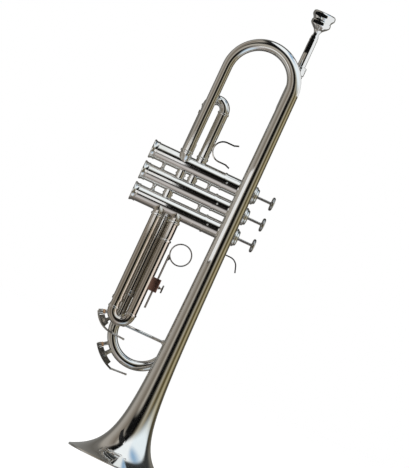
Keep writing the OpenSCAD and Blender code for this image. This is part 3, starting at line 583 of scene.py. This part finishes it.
@dataclass
class Bell:
    """The bell: flare and stem in one sheet, the rim's bead and the tapered bow."""

    rim_d: float = 123.0
    bead_d: float = 2.6
    bead_share: float = 0.85
    edge_gap: float = 0.3
    wall: float = 0.7
    stem_r: float = 8.3
    taper: float = 0.0057
    power: float = 2.145
    lead_in: float = 41.6
    bow_z: float = 463.3
    tail_r: float = 6.0
    rows: int = 90
    bunching: float = 2.1
    bead_steps: int = 18
    sides: int = 144
    rim_sides: int = 192
    bow_sides: int = 64
    bow_steps: int = 72
    slope_step: float = 0.05
    rim_h: float = field(init=False)
    growth: float = field(init=False)
    tail: tuple[float, float] = field(init=False)

    def __post_init__(self) -> None:
        """Works out the flare's growth from the sizes."""
        self.rim_h = self.bead_d * self.bead_share
        edge_r = self.rim_d / 2 - self.edge_gap
        rest = edge_r - self.stem_r - self.taper * (self.bow_z - self.rim_h)
        self.growth = rest * self.lead_in ** self.power
        low, high = box_of("bell_bow")
        self.tail = (low.x + self.tail_r, high.y - self.tail_r)

    def outer(self, z: float) -> float:
        """The sheet's outer radius at a height."""
        flare = self.growth / (z - self.rim_h + self.lead_in) ** self.power
        return self.stem_r + self.taper * (self.bow_z - z) + flare

    def inner(self, z: float) -> float:
        """The sheet's inner radius at a height."""
        step = self.slope_step
        slope = (self.outer(z - step) - self.outer(z + step)) / (2 * step)
        return self.outer(z) - self.wall * math.sqrt(1 + slope * slope)

    def build(self) -> None:
        """Builds the shell, the bead and the bow."""
        rise = self.bow_z - self.rim_h
        heights = [self.rim_h + rise * (i / self.rows) ** self.bunching
                   for i in range(self.rows + 1)]
        skin = [(self.outer(z), z) for z in heights]
        bore = [(self.inner(z), z) for z in reversed(heights)]
        shell = Bench.turned("bell_shell", skin + bore, (0, 0, 0), steps=self.sides)
        fit(shell, "instrument", "bell_flare", "bell_stem")
        self._bead()
        self._bow()

    def _bead(self) -> None:
        """The wire bead that the sheet is rolled round, flat underneath."""
        r, mid, count = self.bead_d / 2, self.rim_d / 2 - self.bead_d / 2, self.bead_steps
        low = math.asin(-self.rim_h / 2 / r)
        turns = [low + (math.pi - 2 * low) * i / count for i in range(count + 1)]
        profile = [(mid + r * math.cos(a), self.rim_h / 2 + r * math.sin(a)) for a in turns]
        bead = Bench.turned("bell_rim", profile, (0, 0, 0), steps=self.rim_sides)
        fit(bead, "instrument", "bell_rim_bead")

    def _bow(self) -> None:
        """The bow, drawn on from the stem's end and narrowed on its way to the tail."""
        end = at(0, 0, self.bow_z)
        middle = at(self.tail[0] / 2, self.tail[1] / 2, self.bow_z)
        axis = Axis.Z.value.cross(Vector((*self.tail, 0))).normalized()
        start, each = self.outer(self.bow_z), math.radians(180 / self.bow_steps)
        turn, factor = Matrix.Rotation(each, 3, axis), (self.tail_r / start) ** (1 / self.bow_steps)
        Bench.clear()
        bpy.ops.mesh.primitive_circle_add(vertices=self.bow_sides, radius=start * MM, location=end)
        bow = Bench.begin("bell_bow_tube", "EDGE")
        for _ in range(self.bow_steps):
            bpy.ops.mesh.spin(steps=1, angle=-each, center=middle, axis=axis)
            end = middle + turn @ (end - middle)
            bpy.ops.transform.resize(value=(factor,) * 3, center_override=end)
        Bench.tidy()
        Bench.modify(bow, "SOLIDIFY", thickness=self.wall * MM, offset=-1.0)
        fit(bow, "instrument", "bell_bow")


@dataclass
class ValveSet:
    """What is turned on the three valves' axes: caps, stems, buttons and joint rings."""

    heights: tuple[float, ...] = field(init=False)
    valve_y: float = field(init=False)
    top: float = 9.5
    low: float = -113.0
    joint: float = -26.6
    casing_r: float = 9.9
    baluster_r: float = 10.2
    stem_r: float = 1.5
    button_r: float = 8.2
    button_low: float = 31.2
    stroke: float = 15.5
    skirt: float = 0.65
    ease: float = 0.05
    knurl_width: float = 0.1
    knurl_depth: float = 0.16
    bead_r: tuple[float, float] = (0.65, 1.15)
    nub_gap: float = 3.4

    def __post_init__(self) -> None:
        """Finds the valves' axes from the pearls."""
        places = [middle_of(f"button_pearl_{i}") for i in (1, 2, 3)]
        self.heights = tuple(place.z for place in places)
        self.valve_y = places[0].y

    def build(self) -> None:
        """Builds each kind of part once per valve; the caps of a kind are one piece."""
        tops = [self._top_cap(z) for z in self.heights]
        fit(Bench.together("valve_top_caps", tops), "instrument", "top_caps")
        lows = [self._bottom_cap(z) for z in self.heights]
        fit(Bench.together("valve_bottom_caps", lows), "instrument", "bottom_caps")
        for i, z in enumerate(self.heights, 1):
            body = f"piston_{i}"
            # The stem takes the dark plate copy: painted shade.
            fit(self._stem(i, z), body, f"valve_stem_{i}", finish=Finish.DARK, smooth=50)
            fit(self._pearl(i, z), body, f"button_pearl_{i}", finish=Finish.PEARL, smooth=50)
            fit(self._nub(i, z), "instrument", smooth=60)
            self._spring(i)

    def _on_axis(self, name: str, outline: Sequence[Point], z: float, round_off: float,
                 steps: int = 96, loop: bool = True) -> bpy.types.Object:
        """Turns an outline, rounded off, on a valve's axis."""
        profile = rounded(outline, round_off, 3, loop)
        return Bench.turned(name, profile, (0, self.valve_y, z), Axis.X, steps, loop)

    def _knurl(self, piece: bpy.types.Object, z: float, span: tuple[float, float],
               least_r: float) -> None:
        """Cuts a fine knurl into a band of a cap.

        Args:
            piece: the cap.
            z: the height of the valve's axis.
            span: the band's two ends along the axis.
            least_r: faces nearer to the axis than this stay plain.
        """
        Bench.pick(piece)
        bpy.ops.object.mode_set(mode="EDIT")
        bpy.ops.mesh.select_mode(type="FACE")
        bpy.ops.mesh.select_all(action="DESELECT")
        bpy.ops.object.mode_set(mode="OBJECT")
        for face in piece.data.polygons:
            centre = face.center / MM
            r = math.hypot(centre.y - self.valve_y, centre.z - z)
            face.select = (span[0] < centre.x < span[1] and r > least_r
                           and abs(face.normal.x) < 0.5)
        bpy.ops.object.mode_set(mode="EDIT")
        bpy.ops.mesh.inset(thickness=self.knurl_width * MM, depth=-self.knurl_depth * MM,
                           use_individual=True)
        Bench.clear()

    def _top_cap(self, z: float) -> bpy.types.Object:
        """A top cap: knurled skirt, stepped crown and a hole for the stem."""
        r, top, bore = self.baluster_r + self.skirt, self.top, self.baluster_r + self.ease
        outline = [(r, top - 5.5), (r, top - 4.9), (r - 0.25, top - 4.6), (r - 0.25, top - 4.2),
                   (r, top - 3.9), (r, top - 1.2), (r, top + 1.5), (r - 0.5, top + 2.5),
                   (r - 1.7, top + 3.3), (r - 2.1, top + 4.6), (r - 3.0, top + 5.4),
                   (3.4, top + 5.8), (self.stem_r + 0.3, top + 5.8), (self.stem_r + 0.3, top + 3.4),
                   (9.1, top + 3.4), (9.1, top + 0.02), (bore, top + 0.02), (bore, top - 5.5)]
        cap = self._on_axis("cap", outline, z, round_off=0.3, steps=120)
        self._knurl(cap, z, span=(top - 3.7, top + 1.3), least_r=r - 0.1)
        return cap

    def _bottom_cap(self, z: float) -> bpy.types.Object:
        """A bottom cap: waisted, with a stout bright bead round its foot and a vent."""
        r, edge, base = self.casing_r, self.low + 2.8, self.low - 4.3
        bore, (out, up) = r + self.ease, self.bead_r
        bead = [(r + 0.75 + out * math.cos(a), base + up + up * math.sin(a))
                for a in (math.radians(d) for d in range(60, -91, -15))]
        outline = [(bore, edge), (r + 0.65, edge), (r + 0.8, edge - 0.3), (r + 0.55, edge - 1.8),
                   (r + 0.45, edge - 3.2), (r + 0.75, edge - 4.4), *bead, (3.6, base),
                   (2.5, base + 0.3), (2.5, base + 1.4), (8.4, base + 1.4),
                   (8.4, self.low - 0.02), (bore, self.low - 0.02)]
        return self._on_axis("cap", outline, z, round_off=0.22, steps=120)

    def _stem(self, index: int, z: float) -> bpy.types.Object:
        """A stem with its finger button and the dish for the pearl."""
        r, s, low = self.button_r, self.stem_r, self.button_low
        outline = [(0.001, 9.0), (s + 0.5, 9.0), (s + 0.5, 10.0), (s, 10.3), (s, low - 0.25),
                   (s + 0.9, low + 0.05), (r - 2.2, low + 0.1), (r - 0.5, low + 0.7),
                   (r, low + 1.7), (r - 0.1, low + 2.6), (r - 0.8, low + 3.5),
                   (r - 1.4, low + 3.9), (r - 1.7, low + 3.6), (r - 1.7, low + 3.1),
                   (0.001, low + 3.1)]
        return self._on_axis(f"stem_and_button_{index}", outline, z, round_off=0.5, steps=72,
                             loop=False)

    def _pearl(self, index: int, z: float) -> bpy.types.Object:
        """A domed pearl inlay."""
        r, low = self.button_r - 1.75, self.button_low + 3.1
        dome = [(r * math.cos(a), low + 0.8 + 0.7 * math.sin(a))
                for a in (math.radians(d) for d in range(0, 90, 9))]
        outline = [(0.001, low + 0.02), (r, low + 0.02), *dome, (0.001, low + 1.5)]
        return Bench.turned(f"pearl_{index}", outline, (0, self.valve_y, z), Axis.X, 64, False)

    def _spring(self, index: int) -> None:
        """A return spring between the guide and the barrel's top, on its piston's body."""
        node = f"valve_spring_{index}"
        spring = Bench.worked_copy(node, f"return_spring_{index}", 0.02, segments=1, angle=80)
        fit(spring, f"piston_{index}", node, finish=Finish.STEEL, smooth=60)
        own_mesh(spring)

    def _nub(self, index: int, z: float) -> bpy.types.Object:
        """A small round head at the joint ring, facing out."""
        y = self.valve_y - self.baluster_r
        outline = [(0.001, -0.9), (0.5, -0.85), (0.95, -0.5), (1.15, 0.1), (1.15, 0.8),
                   (0.001, 0.8)]
        return Bench.turned(f"joint_nub_{index}", rounded(outline, 0.2, 3, False),
                            (self.joint + self.nub_gap, y, z), Axis.Y, 32, False)


@dataclass
class Mouthpiece:
    """The mouthpiece and the receiver that holds it."""

    x: float = field(init=False)
    y: float = field(init=False)
    receiver: float = 498.3
    top: float = 565.0
    rim_r: float = 13.5
    cup_r: float = 8.3
    throat_r: float = 1.85
    shank: float = 21.0
    sleeve: float = 58.0

    def __post_init__(self) -> None:
        """Finds the axis from the CAD mouthpiece."""
        self.x, self.y = middle_of("mouthpiece").xy

    def build(self) -> None:
        """Builds the mouthpiece and the receiver."""
        r, top, c = self.rim_r, self.top, self.cup_r
        neck = top - 24.8
        outer = [(r - 2.6, top), (r - 0.8, top - 0.9), (r, top - 2.6), (r, top - 5.6),
                 (r - 0.9, top - 7), (r - 2.4, top - 9.2), (r - 2.7, top - 10.4),
                 (r - 1.9, top - 11.4), (r - 1.8, top - 14.8), (r - 3, top - 16.6),
                 (r - 6, top - 19.4), (r - 8.6, top - 21.6), (3.4, neck - 0.4), (3.2, neck - 2),
                 (4.1, neck - 4.2), (4.6, neck - 5.6), (4.2, neck - 7), (4.9, neck - 8.4),
                 (4.5, neck - 10.4), (4.75, neck - 14)]
        tip = self.receiver - self.shank
        shank = [(4.8, self.receiver), (4.45, tip), (3.85, tip)]
        bore = [(self.throat_r, top - 30), (self.throat_r, top - 16), (c - 4.4, top - 11.6),
                (c - 1.6, top - 7.4), (c - 0.3, top - 3), (c, top - 1.2), (c + 1, top - 0.2),
                (c + 1.8, top)]
        profile = rounded(outer + shank + bore, 1.1, 5)
        made = Bench.turned("mouthpiece_turned", profile, (self.x, self.y, 0), steps=112)
        fit(made, "mouthpiece", "mouthpiece", smooth=45)
        self._receiver()

    def _receiver(self) -> None:
        """The receiver: a stout collar, a turned groove and a tapering sleeve."""
        top, low = self.receiver, self.receiver - self.sleeve
        outline = [(6.8, top), (7.3, top - 0.6), (7.3, top - 3.0), (7.0, top - 3.4),
                   (7.3, top - 3.8), (7.3, top - 9.4), (6.7, top - 10), (6.5, top - 10.4),
                   (6.3, low + 5), (5.8, low + 0.6), (5.35, low), (5.35, top - 24),
                   (4.5, top - 24), (4.5, top - self.shank), (4.85, top)]
        made = Bench.turned("receiver_turned", rounded(outline, 0.3, 3), (self.x, self.y, 0))
        fit(made, "instrument", "mouthpiece_receiver")


class Bead(Enum):
    """A kind of bead: how far it stands out of its tube, and its width along the tube."""

    SLEEVE = (0.8, 2.4)
    BOW = (0.7, 2.6)
    DOUBLE = (0.8, 1.9)
    FIRST = (0.7, 2.4)
    KNUCKLE = (0.95, 2.8)


@dataclass
class Ferrules:
    """The bright beads where slide tubes end and where they meet bows and knuckles."""

    tube_r: float = 6.0
    bow_r: float = 5.9
    sunk: float = 0.15
    round_off: float = 0.75
    bow_gap: float = 1.5
    ring_gap: float = 4.9
    first_gap: float = 17.6
    knuckle_gap: float = 2.7
    sleeve_rises: tuple[float, float] = (1.2, 5.4)

    @staticmethod
    def _legs(node: str, r: float, crossed: bool = False) -> tuple[Vector, Vector]:
        """Finds the axes of a slide's two legs.

        Args:
            node: the CAD node of the slide's bow.
            r: the legs' radius, as the node's box shows it.
            crossed: whether the leg nearer to the buttons is the one in front.

        Returns:
            The end of the leg nearer to the buttons, and that of the other.
        """
        low, high = box_of(node)
        ys = (high.y - r, low.y + r)
        near, far = reversed(ys) if crossed else ys
        return Vector((high.x - r, near, high.z)), Vector((low.x + r, far, high.z))

    def build(self) -> None:
        """Builds the beads, one piece for each place along the tubes."""
        third = self._legs("third_slide_bow", self.bow_r)
        tuning = self._legs("tuning_bow", self.bow_r)
        first = self._legs("first_slide", self.tube_r, crossed=True)
        ring = box_of("finger_ring")[1].z - self.ring_gap
        sleeve = box_of("tuning_lower_sleeve")[0].z
        below = box_of("valve_casing_3")[0].z - self.knuckle_gap
        above = box_of("valve_casing_1")[1].z + self.knuckle_gap
        low, high = box_of("bell_bow")
        tail = Vector((low.x + self.tube_r, high.y - self.tube_r, above))
        self._beads("third_sleeve_bead", "third_slide", Bead.SLEEVE, [(third[0], ring)])
        for name, body, legs in (("third_bow_beads", "third_slide", third),
                                 ("tuning_bow_beads", "tuning_slide", tuning)):
            self._beads(name, body, Bead.BOW, [(leg, leg.z + self.bow_gap) for leg in legs])
        self._beads("tuning_sleeve_beads", "instrument", Bead.DOUBLE,
                    [(leg, sleeve + rise) for leg in tuning for rise in self.sleeve_rises])
        self._beads("first_bow_beads", "first_slide", Bead.FIRST,
                    [(leg, leg.z - self.first_gap) for leg in first])
        self._beads("knuckle_beads", "instrument", Bead.KNUCKLE,
                    [(leg, below) for leg in (*third, tuning[1])]
                    + [(leg, above) for leg in (*first, tail)])

    def _beads(self, name: str, body: str, kind: Bead,
               places: Sequence[tuple[Vector, float]]) -> None:
        """Turns one bead round each tube and joins them.

        Args:
            name: the piece's name.
            body: the body that it rides on.
            kind: the beads' kind.
            places: each tube's axis and the height along it.
        """
        height, width = kind.value
        least, most, half = self.tube_r - self.sunk, self.tube_r + height, width / 2
        outline = [(least, -half), (most, -half), (most, half), (least, half)]
        profile = rounded(outline, self.round_off)
        made = [Bench.turned("bead", profile, (axis.x, axis.y, z), steps=64)
                for axis, z in places]
        fit(Bench.together(name, made), body)


@dataclass
class Hardware:
    """The small fittings with eased edges: water keys, clamp, thumb rest, hook and pads."""

    edges: tuple[tuple[str, str, float, str], ...] = (
        ("main_key_lever", "main_water_key", 0.45, "main_key_arm"),
        ("third_key_lever", "third_water_key", 0.4, "third_key_arm"),
        ("main_key_mount", "tuning_slide", 0.25, "main_key_saddle"),
        ("third_key_mount", "third_slide", 0.25, "third_key_saddle"),
        ("ring_clamp", "third_slide", 0.5, "clamp_block"),
        ("clamp_screw", "clamp_screw", 0.3, "clamp_thumb_screw"),
        ("thumb_saddle", "first_slide", 0.35, "thumb_rest"),
        ("pinky_hook", "instrument", 0.4, "little_finger_hook"),
        ("main_key_cork", "main_water_key", 0.3, "main_key_pad"),
        ("third_key_cork", "third_water_key", 0.3, "third_key_pad"),
    )

    def build(self) -> None:
        """Eases the edges of every fitting."""
        for node, body, width, name in self.edges:
            piece = Bench.worked_copy(node, name, width)
            fit(piece, body, node, finish=finish_of(node), smooth=40)


# ---- studio ----


class Wall(Enum):
    """What the metal mirrors above, below and behind, as display colours in percent."""

    ARCH = (6, 6, 6)
    FRONT_LOW_X = (54, 51, 48)
    FRONT_HIGH_X = (66, 63, 62)
    FLOOR_BEHIND = (24, 22, 20)
    WALL_BEHIND = (34, 33, 32)
    SIDE = (62, 60, 58)
    SIDE_FLAG = (5, 5, 5)
    SKY = (93, 97, 99)
    ZENITH = (56, 70, 83)
    WINDOW = (97, 99, 100)
    CEILING_BEHIND = (20, 21, 21)

    @property
    def light(self) -> Colour:
        """The wall's colour as light."""
        return shown(self.value)


class Edge(Enum):
    """Where one part of the surround fades into the next.

    Elevations are in degrees, turns in shares of a circle, and the rest along a direction's x or y.
    """

    ARCH_FOOT = (10.0, 19.0)
    ARCH_TOP = (44.0, 33.0)
    ARCH_START = (0.34, 0.385)
    ARCH_END = (0.50, 0.46)
    LOWER = (-19.0, -42.0)
    FRONT = (-0.20, 0.30)
    FLOOR = (-56.0, -72.0)
    FLOOR_BEHIND = (-0.30, 0.50)
    WALL_LOW = (-20.0, -34.0)
    WALL_BEHIND = (0.15, 0.50)
    SIDE_FLAG = (-0.17, -0.10)
    SKY = (0.08, 0.16)
    ZENITH = (48.0, 72.0)
    WINDOW = (0.10, 0.34)
    CEILING = (34.0, 54.0)
    CEILING_BEHIND = (0.22, 0.40)

    def over(self, where: Num) -> Num:
        """The fade from 0 to 1 along a number."""
        return where.step(*self.value)


@dataclass(frozen=True)
class Card:
    """An upright or tilted card that only mirrors show.

    Its place and size are in metres; facing is its azimuth from the front in degrees, and tilt is
    how far it leans forwards: at 90 degrees it lies face down. Its colour is in percent.
    """

    name: str
    place: Point
    size: tuple[float, float]
    facing: float
    colour: Colour
    strength: float = 1.0
    one_sided: bool = True
    tilt: float = 0.0

    def build(self) -> None:
        """Makes the card."""
        bpy.ops.mesh.primitive_plane_add(
            size=1.0, location=self.place,
            rotation=(math.radians(90.0 + self.tilt), 0.0, math.radians(self.facing)))
        card = bpy.context.active_object
        card.name = self.name
        card.scale = (*self.size, 1.0)
        bpy.ops.object.transform_apply(location=True, rotation=True, scale=True)
        card.data.materials.append(painted(self.name, self._glow))
        for kind in ("camera", "diffuse", "transmission", "shadow", "volume_scatter"):
            setattr(card, "visible_" + kind, False)

    def _glow(self, s: Shader) -> Num:
        """Draws the card's even glow, clear from behind if it is one-sided."""
        glow = s.add("Emission", None, opaque(shown(self.colour)), self.strength)
        if not self.one_sided:
            return glow
        behind = s.add("NewGeometry", out="Backfacing")
        return s.add("MixShader", None, behind, glow, s.add("BsdfTransparent"))


@dataclass(frozen=True)
class Studio:
    """A pale floor, a soft surround with dark flags for the metal, two soft lamps and a camera."""

    aim: Point = (-0.0218, 0.0, 0.2795)
    frame_height: float = 0.5288
    roll_deg: float = 25.0
    distance: float = 7.0
    floor_radius: float = 6.0
    card_width: float = 0.30
    card_margin: float = 0.022
    card_gap: float = 0.22
    card_reach: float = 0.036
    side_gap: float = 0.0125
    side_extra: float = 0.004
    shelf_depth: float = 0.090
    climb_share: float = 0.8
    slant: Point = (42.0, 0.004, 0.26)
    ceiling_slope: float = 32.0
    level: tuple[Row, ...] = (
        (-160, 52, 52, 51), (-128, 40, 39, 37), (-112, 45, 44, 42), (-95, 64, 62, 59),
        (-78, 64, 62, 59), (-55, 54, 51, 47), (-40, 46, 43, 39), (-30, 56, 53, 49),
        (-19, 70, 68, 64), (-11, 52, 50, 47), (-3, 14, 13, 12), (6, 2, 2, 2), (22, 4, 4, 3.5),
        (31, 34, 32, 27), (43, 66, 64, 58), (54, 56, 52, 42), (64, 32, 28, 16), (76, 34, 30, 18),
        (92, 70, 66, 53), (106, 60, 56, 45), (120, 30, 27, 18), (142, 30, 28, 22),
        (160, 46, 45, 42))
    lower: tuple[Row, ...] = (
        (-150, 56, 56, 55), (-128, 60, 60, 59), (-105, 76, 75, 74), (-78, 66, 65, 62),
        (-50, 59, 57, 53), (-35, 55, 53, 49), (-22, 60, 58, 56), (-4, 75, 73, 72),
        (10, 80, 79, 79), (26, 74, 84, 92), (44, 84, 90, 95), (62, 90, 93, 95), (74, 50, 56, 60),
        (84, 46, 52, 56), (96, 84, 82, 80), (112, 70, 67, 63), (130, 38, 37, 35),
        (150, 36, 35, 33))

    def build(self) -> None:
        """Makes the whole studio."""
        self._floor()
        self._world()
        for card in self._cards():
            card.build()
        self._lamp("lamp_key", (-1.1, -1.3, 1.7), size=1.2, power=15.0)
        self._lamp("lamp_fill", (1.5, -0.7, 0.9), size=1.0, power=6.0)
        self._camera()
        bpy.context.scene.view_settings.view_transform = "Standard"

    def _floor(self) -> None:
        """A plain pale floor that keeps the trumpet's shadow."""
        bpy.ops.mesh.primitive_circle_add(vertices=64, radius=self.floor_radius, fill_type="NGON")
        floor = bpy.context.active_object
        floor.name = "floor"
        floor.data.materials.append(painted("floor_pale", self._floor_paint))
        floor.visible_glossy = False

    @staticmethod
    def _floor_paint(s: Shader) -> Num:
        """Draws the floor's matt paint, lifted towards white where the camera sees it."""
        paint = s.add("BsdfDiffuse", None, opaque((0.8, 0.8, 0.8)))
        lift = s.add("Emission", None, WHITE, 0.42)
        seen = s.add("LightPath", out="Is Camera Ray")
        return s.add("MixShader", None, seen, paint, s.add("AddShader", None, paint, lift))

    def _world(self) -> None:
        """White to the camera; polished metal sees the surround instead."""
        world = bpy.data.worlds.new("studio")
        bpy.context.scene.world = world
        world.use_nodes = True
        s = Shader(world.node_tree)
        seen = self._surround(s)
        plain = s.add("Background", None, WHITE, 0.72)
        mirrored = s.add("Background", None, seen, 1.0)
        white = s.add("Background", None, WHITE, 1.0)
        glossy, clear, camera = (s.add("LightPath", out=f"Is {kind} Ray")
                                 for kind in ("Glossy", "Transmission", "Camera"))
        surround = s.add("MixShader", None, glossy, plain, mirrored)
        s.add("OutputWorld", None, s.add("MixShader", None, camera + clear, surround, white))

    def _surround(self, s: Shader) -> Num:
        """What the metal mirrors: flags and pale walls round it, windows above, a grey floor below.

        Args:
            s: the world's shader.

        Returns:
            The colour seen in each direction.
        """
        way = s.add("TexCoord", out="Generated")
        x, y, z = (s.add("SeparateXYZ", None, way, out=axis) for axis in "XYZ")
        rise = s.add("Math", {"operation": "ARCSINE"}, z) * (180.0 / math.pi)
        turn = s.add("Math", {"operation": "ARCTAN2"}, x, y * -1.0) * (0.5 / math.pi) + 0.5
        climb = s.add("Math", {"operation": "MAXIMUM"}, rise, 0.0) * (self.climb_share / 360.0)
        level = s.ramp(turn + climb, self._stops(self.level))
        lower = s.ramp(turn, self._stops(self.lower))
        arch = Edge.ARCH_FOOT.over(rise) * Edge.ARCH_TOP.over(rise)
        arch = arch * Edge.ARCH_START.over(turn) * Edge.ARCH_END.over(turn)
        level = s.mix(arch, level, Wall.ARCH.light)
        seen = s.mix(Edge.LOWER.over(rise), level, lower)
        front = s.mix(Edge.FRONT.over(x), Wall.FRONT_LOW_X.light, Wall.FRONT_HIGH_X.light)
        under = s.mix(Edge.FLOOR_BEHIND.over(y), front, Wall.FLOOR_BEHIND.light)
        seen = s.mix(Edge.FLOOR.over(rise), seen, under)
        behind = Edge.WALL_LOW.over(rise) * Edge.WALL_BEHIND.over(y)
        seen = s.mix(behind, seen, Wall.WALL_BEHIND.light)
        level_at, slope, shift = self.slant
        bend = x + (rise - level_at) * slope + shift
        side = s.mix(Edge.SIDE_FLAG.over(bend), Wall.SIDE.light, Wall.SIDE_FLAG.light)
        sky = s.mix(Edge.ZENITH.over(rise), Wall.SKY.light, Wall.ZENITH.light)
        sky = s.mix(Edge.WINDOW.over(x), Wall.WINDOW.light, sky)
        above = s.mix(Edge.SKY.over(bend), side, sky)
        above = s.mix(Edge.CEILING_BEHIND.over(y), above, Wall.CEILING_BEHIND.light)
        return s.mix(Edge.CEILING.over(rise + x * self.ceiling_slope), seen, above)

    @staticmethod
    def _stops(rows: Sequence[Row]) -> list[tuple[float, Colour]]:
        """Turns rows of azimuth in degrees and display colour into a ramp's stops."""
        return [(azimuth / 360.0 + 0.5, shown(colour)) for azimuth, *colour in rows]

    def _cards(self) -> tuple[Card, ...]:
        """Cards and dark flags, each set off from the box of the metal that mirrors it."""
        low, high = box_of("valve_casing_1", 1.0)
        base = box_of("valve_casing_3", 1.0)[0]
        wide, ahead = self.card_width, low.y - self.card_gap
        middle_x = low.x + self.card_reach - wide / 2
        pale = Card("pale_card", (middle_x, ahead, (high.z + base.z) / 2),
                    (wide, high.z - base.z + 2 * self.card_margin), 0.0, (93, 93, 93),
                    one_sided=False)
        shelf = Card("card_shelf",
                     (middle_x, ahead + self.shelf_depth / 2, base.z - self.card_margin),
                     (wide, self.shelf_depth), 0.0, (12, 12, 12), tilt=90.0)
        low, high = box_of("third_slide_tubes", 1.0)
        beside, middle = high.x + self.side_gap, (low.z + high.z) / 2
        tall = high.z - low.z + self.side_extra
        slide = Card("slide_card", (beside, low.y - 0.011, middle), (0.022, tall), -90.0,
                     (97, 93, 90), strength=1.05)
        flag = Card("slide_flag", (beside, low.y + 0.014, middle), (0.026, tall), -90.0,
                    (16, 13, 11))
        low, high = box_of("mouthpiece", 1.0)
        rim_flag = Card("rim_flag", (low.x - 0.012, low.y - 0.012, high.z - 0.012),
                        (0.150, 0.074), 144.0, (5, 5, 5))
        rim_card = Card("rim_card",
                        (high.x + 0.020, (low.y + high.y) / 2 - 0.009, high.z - 0.037),
                        (0.070, 0.124), -105.0, (94, 95, 96))
        return pale, shelf, slide, flag, rim_flag, rim_card

    def _lamp(self, name: str, place: Point, size: float, power: float) -> None:
        """A square soft lamp that points at the trumpet's middle.

        Args:
            name: the lamp's name.
            place: its place in metres.
            size: its side in metres.
            power: its power in watts.
        """
        light = bpy.data.lights.new(name, "AREA")
        light.size, light.energy = size, power
        lamp = bpy.data.objects.new(name, light)
        bpy.context.collection.objects.link(lamp)
        lamp.location = place
        lamp.visible_glossy = False
        lamp.rotation_euler = (Vector(self.aim) - Vector(place)).to_track_quat("-Z", "Y").to_euler()

    def _camera(self) -> None:
        """A long lens, level and square to the bell's axis, turned about its own axis."""
        roll = math.radians(self.roll_deg)
        right = Vector((math.cos(roll), 0.0, math.sin(roll)))
        up = Vector((-math.sin(roll), 0.0, math.cos(roll)))
        back = right.cross(up)
        place = Vector(self.aim) + back * self.distance
        data = bpy.data.cameras.new("camera")
        data.lens = data.sensor_width * self.distance / self.frame_height
        data.clip_start, data.clip_end = 0.5, 60.0
        camera = bpy.data.objects.new("camera", data)
        bpy.context.collection.objects.link(camera)
        turned = Matrix((right, up, back)).transposed().to_4x4()
        camera.matrix_world = Matrix.Translation(place) @ turned
        bpy.context.scene.camera = camera


def main() -> None:
    """Builds the trumpet's pieces in order and reports them."""
    logging.basicConfig(level=logging.INFO, format="%(name)s: %(message)s")
    LOG.info("%d nodes dressed", dress_cad())
    for part in (Bell(), ValveSet(), Mouthpiece(), Ferrules(), Hardware()):
        part.build()
    Studio().build()


if __name__ == "__main__":
    main()
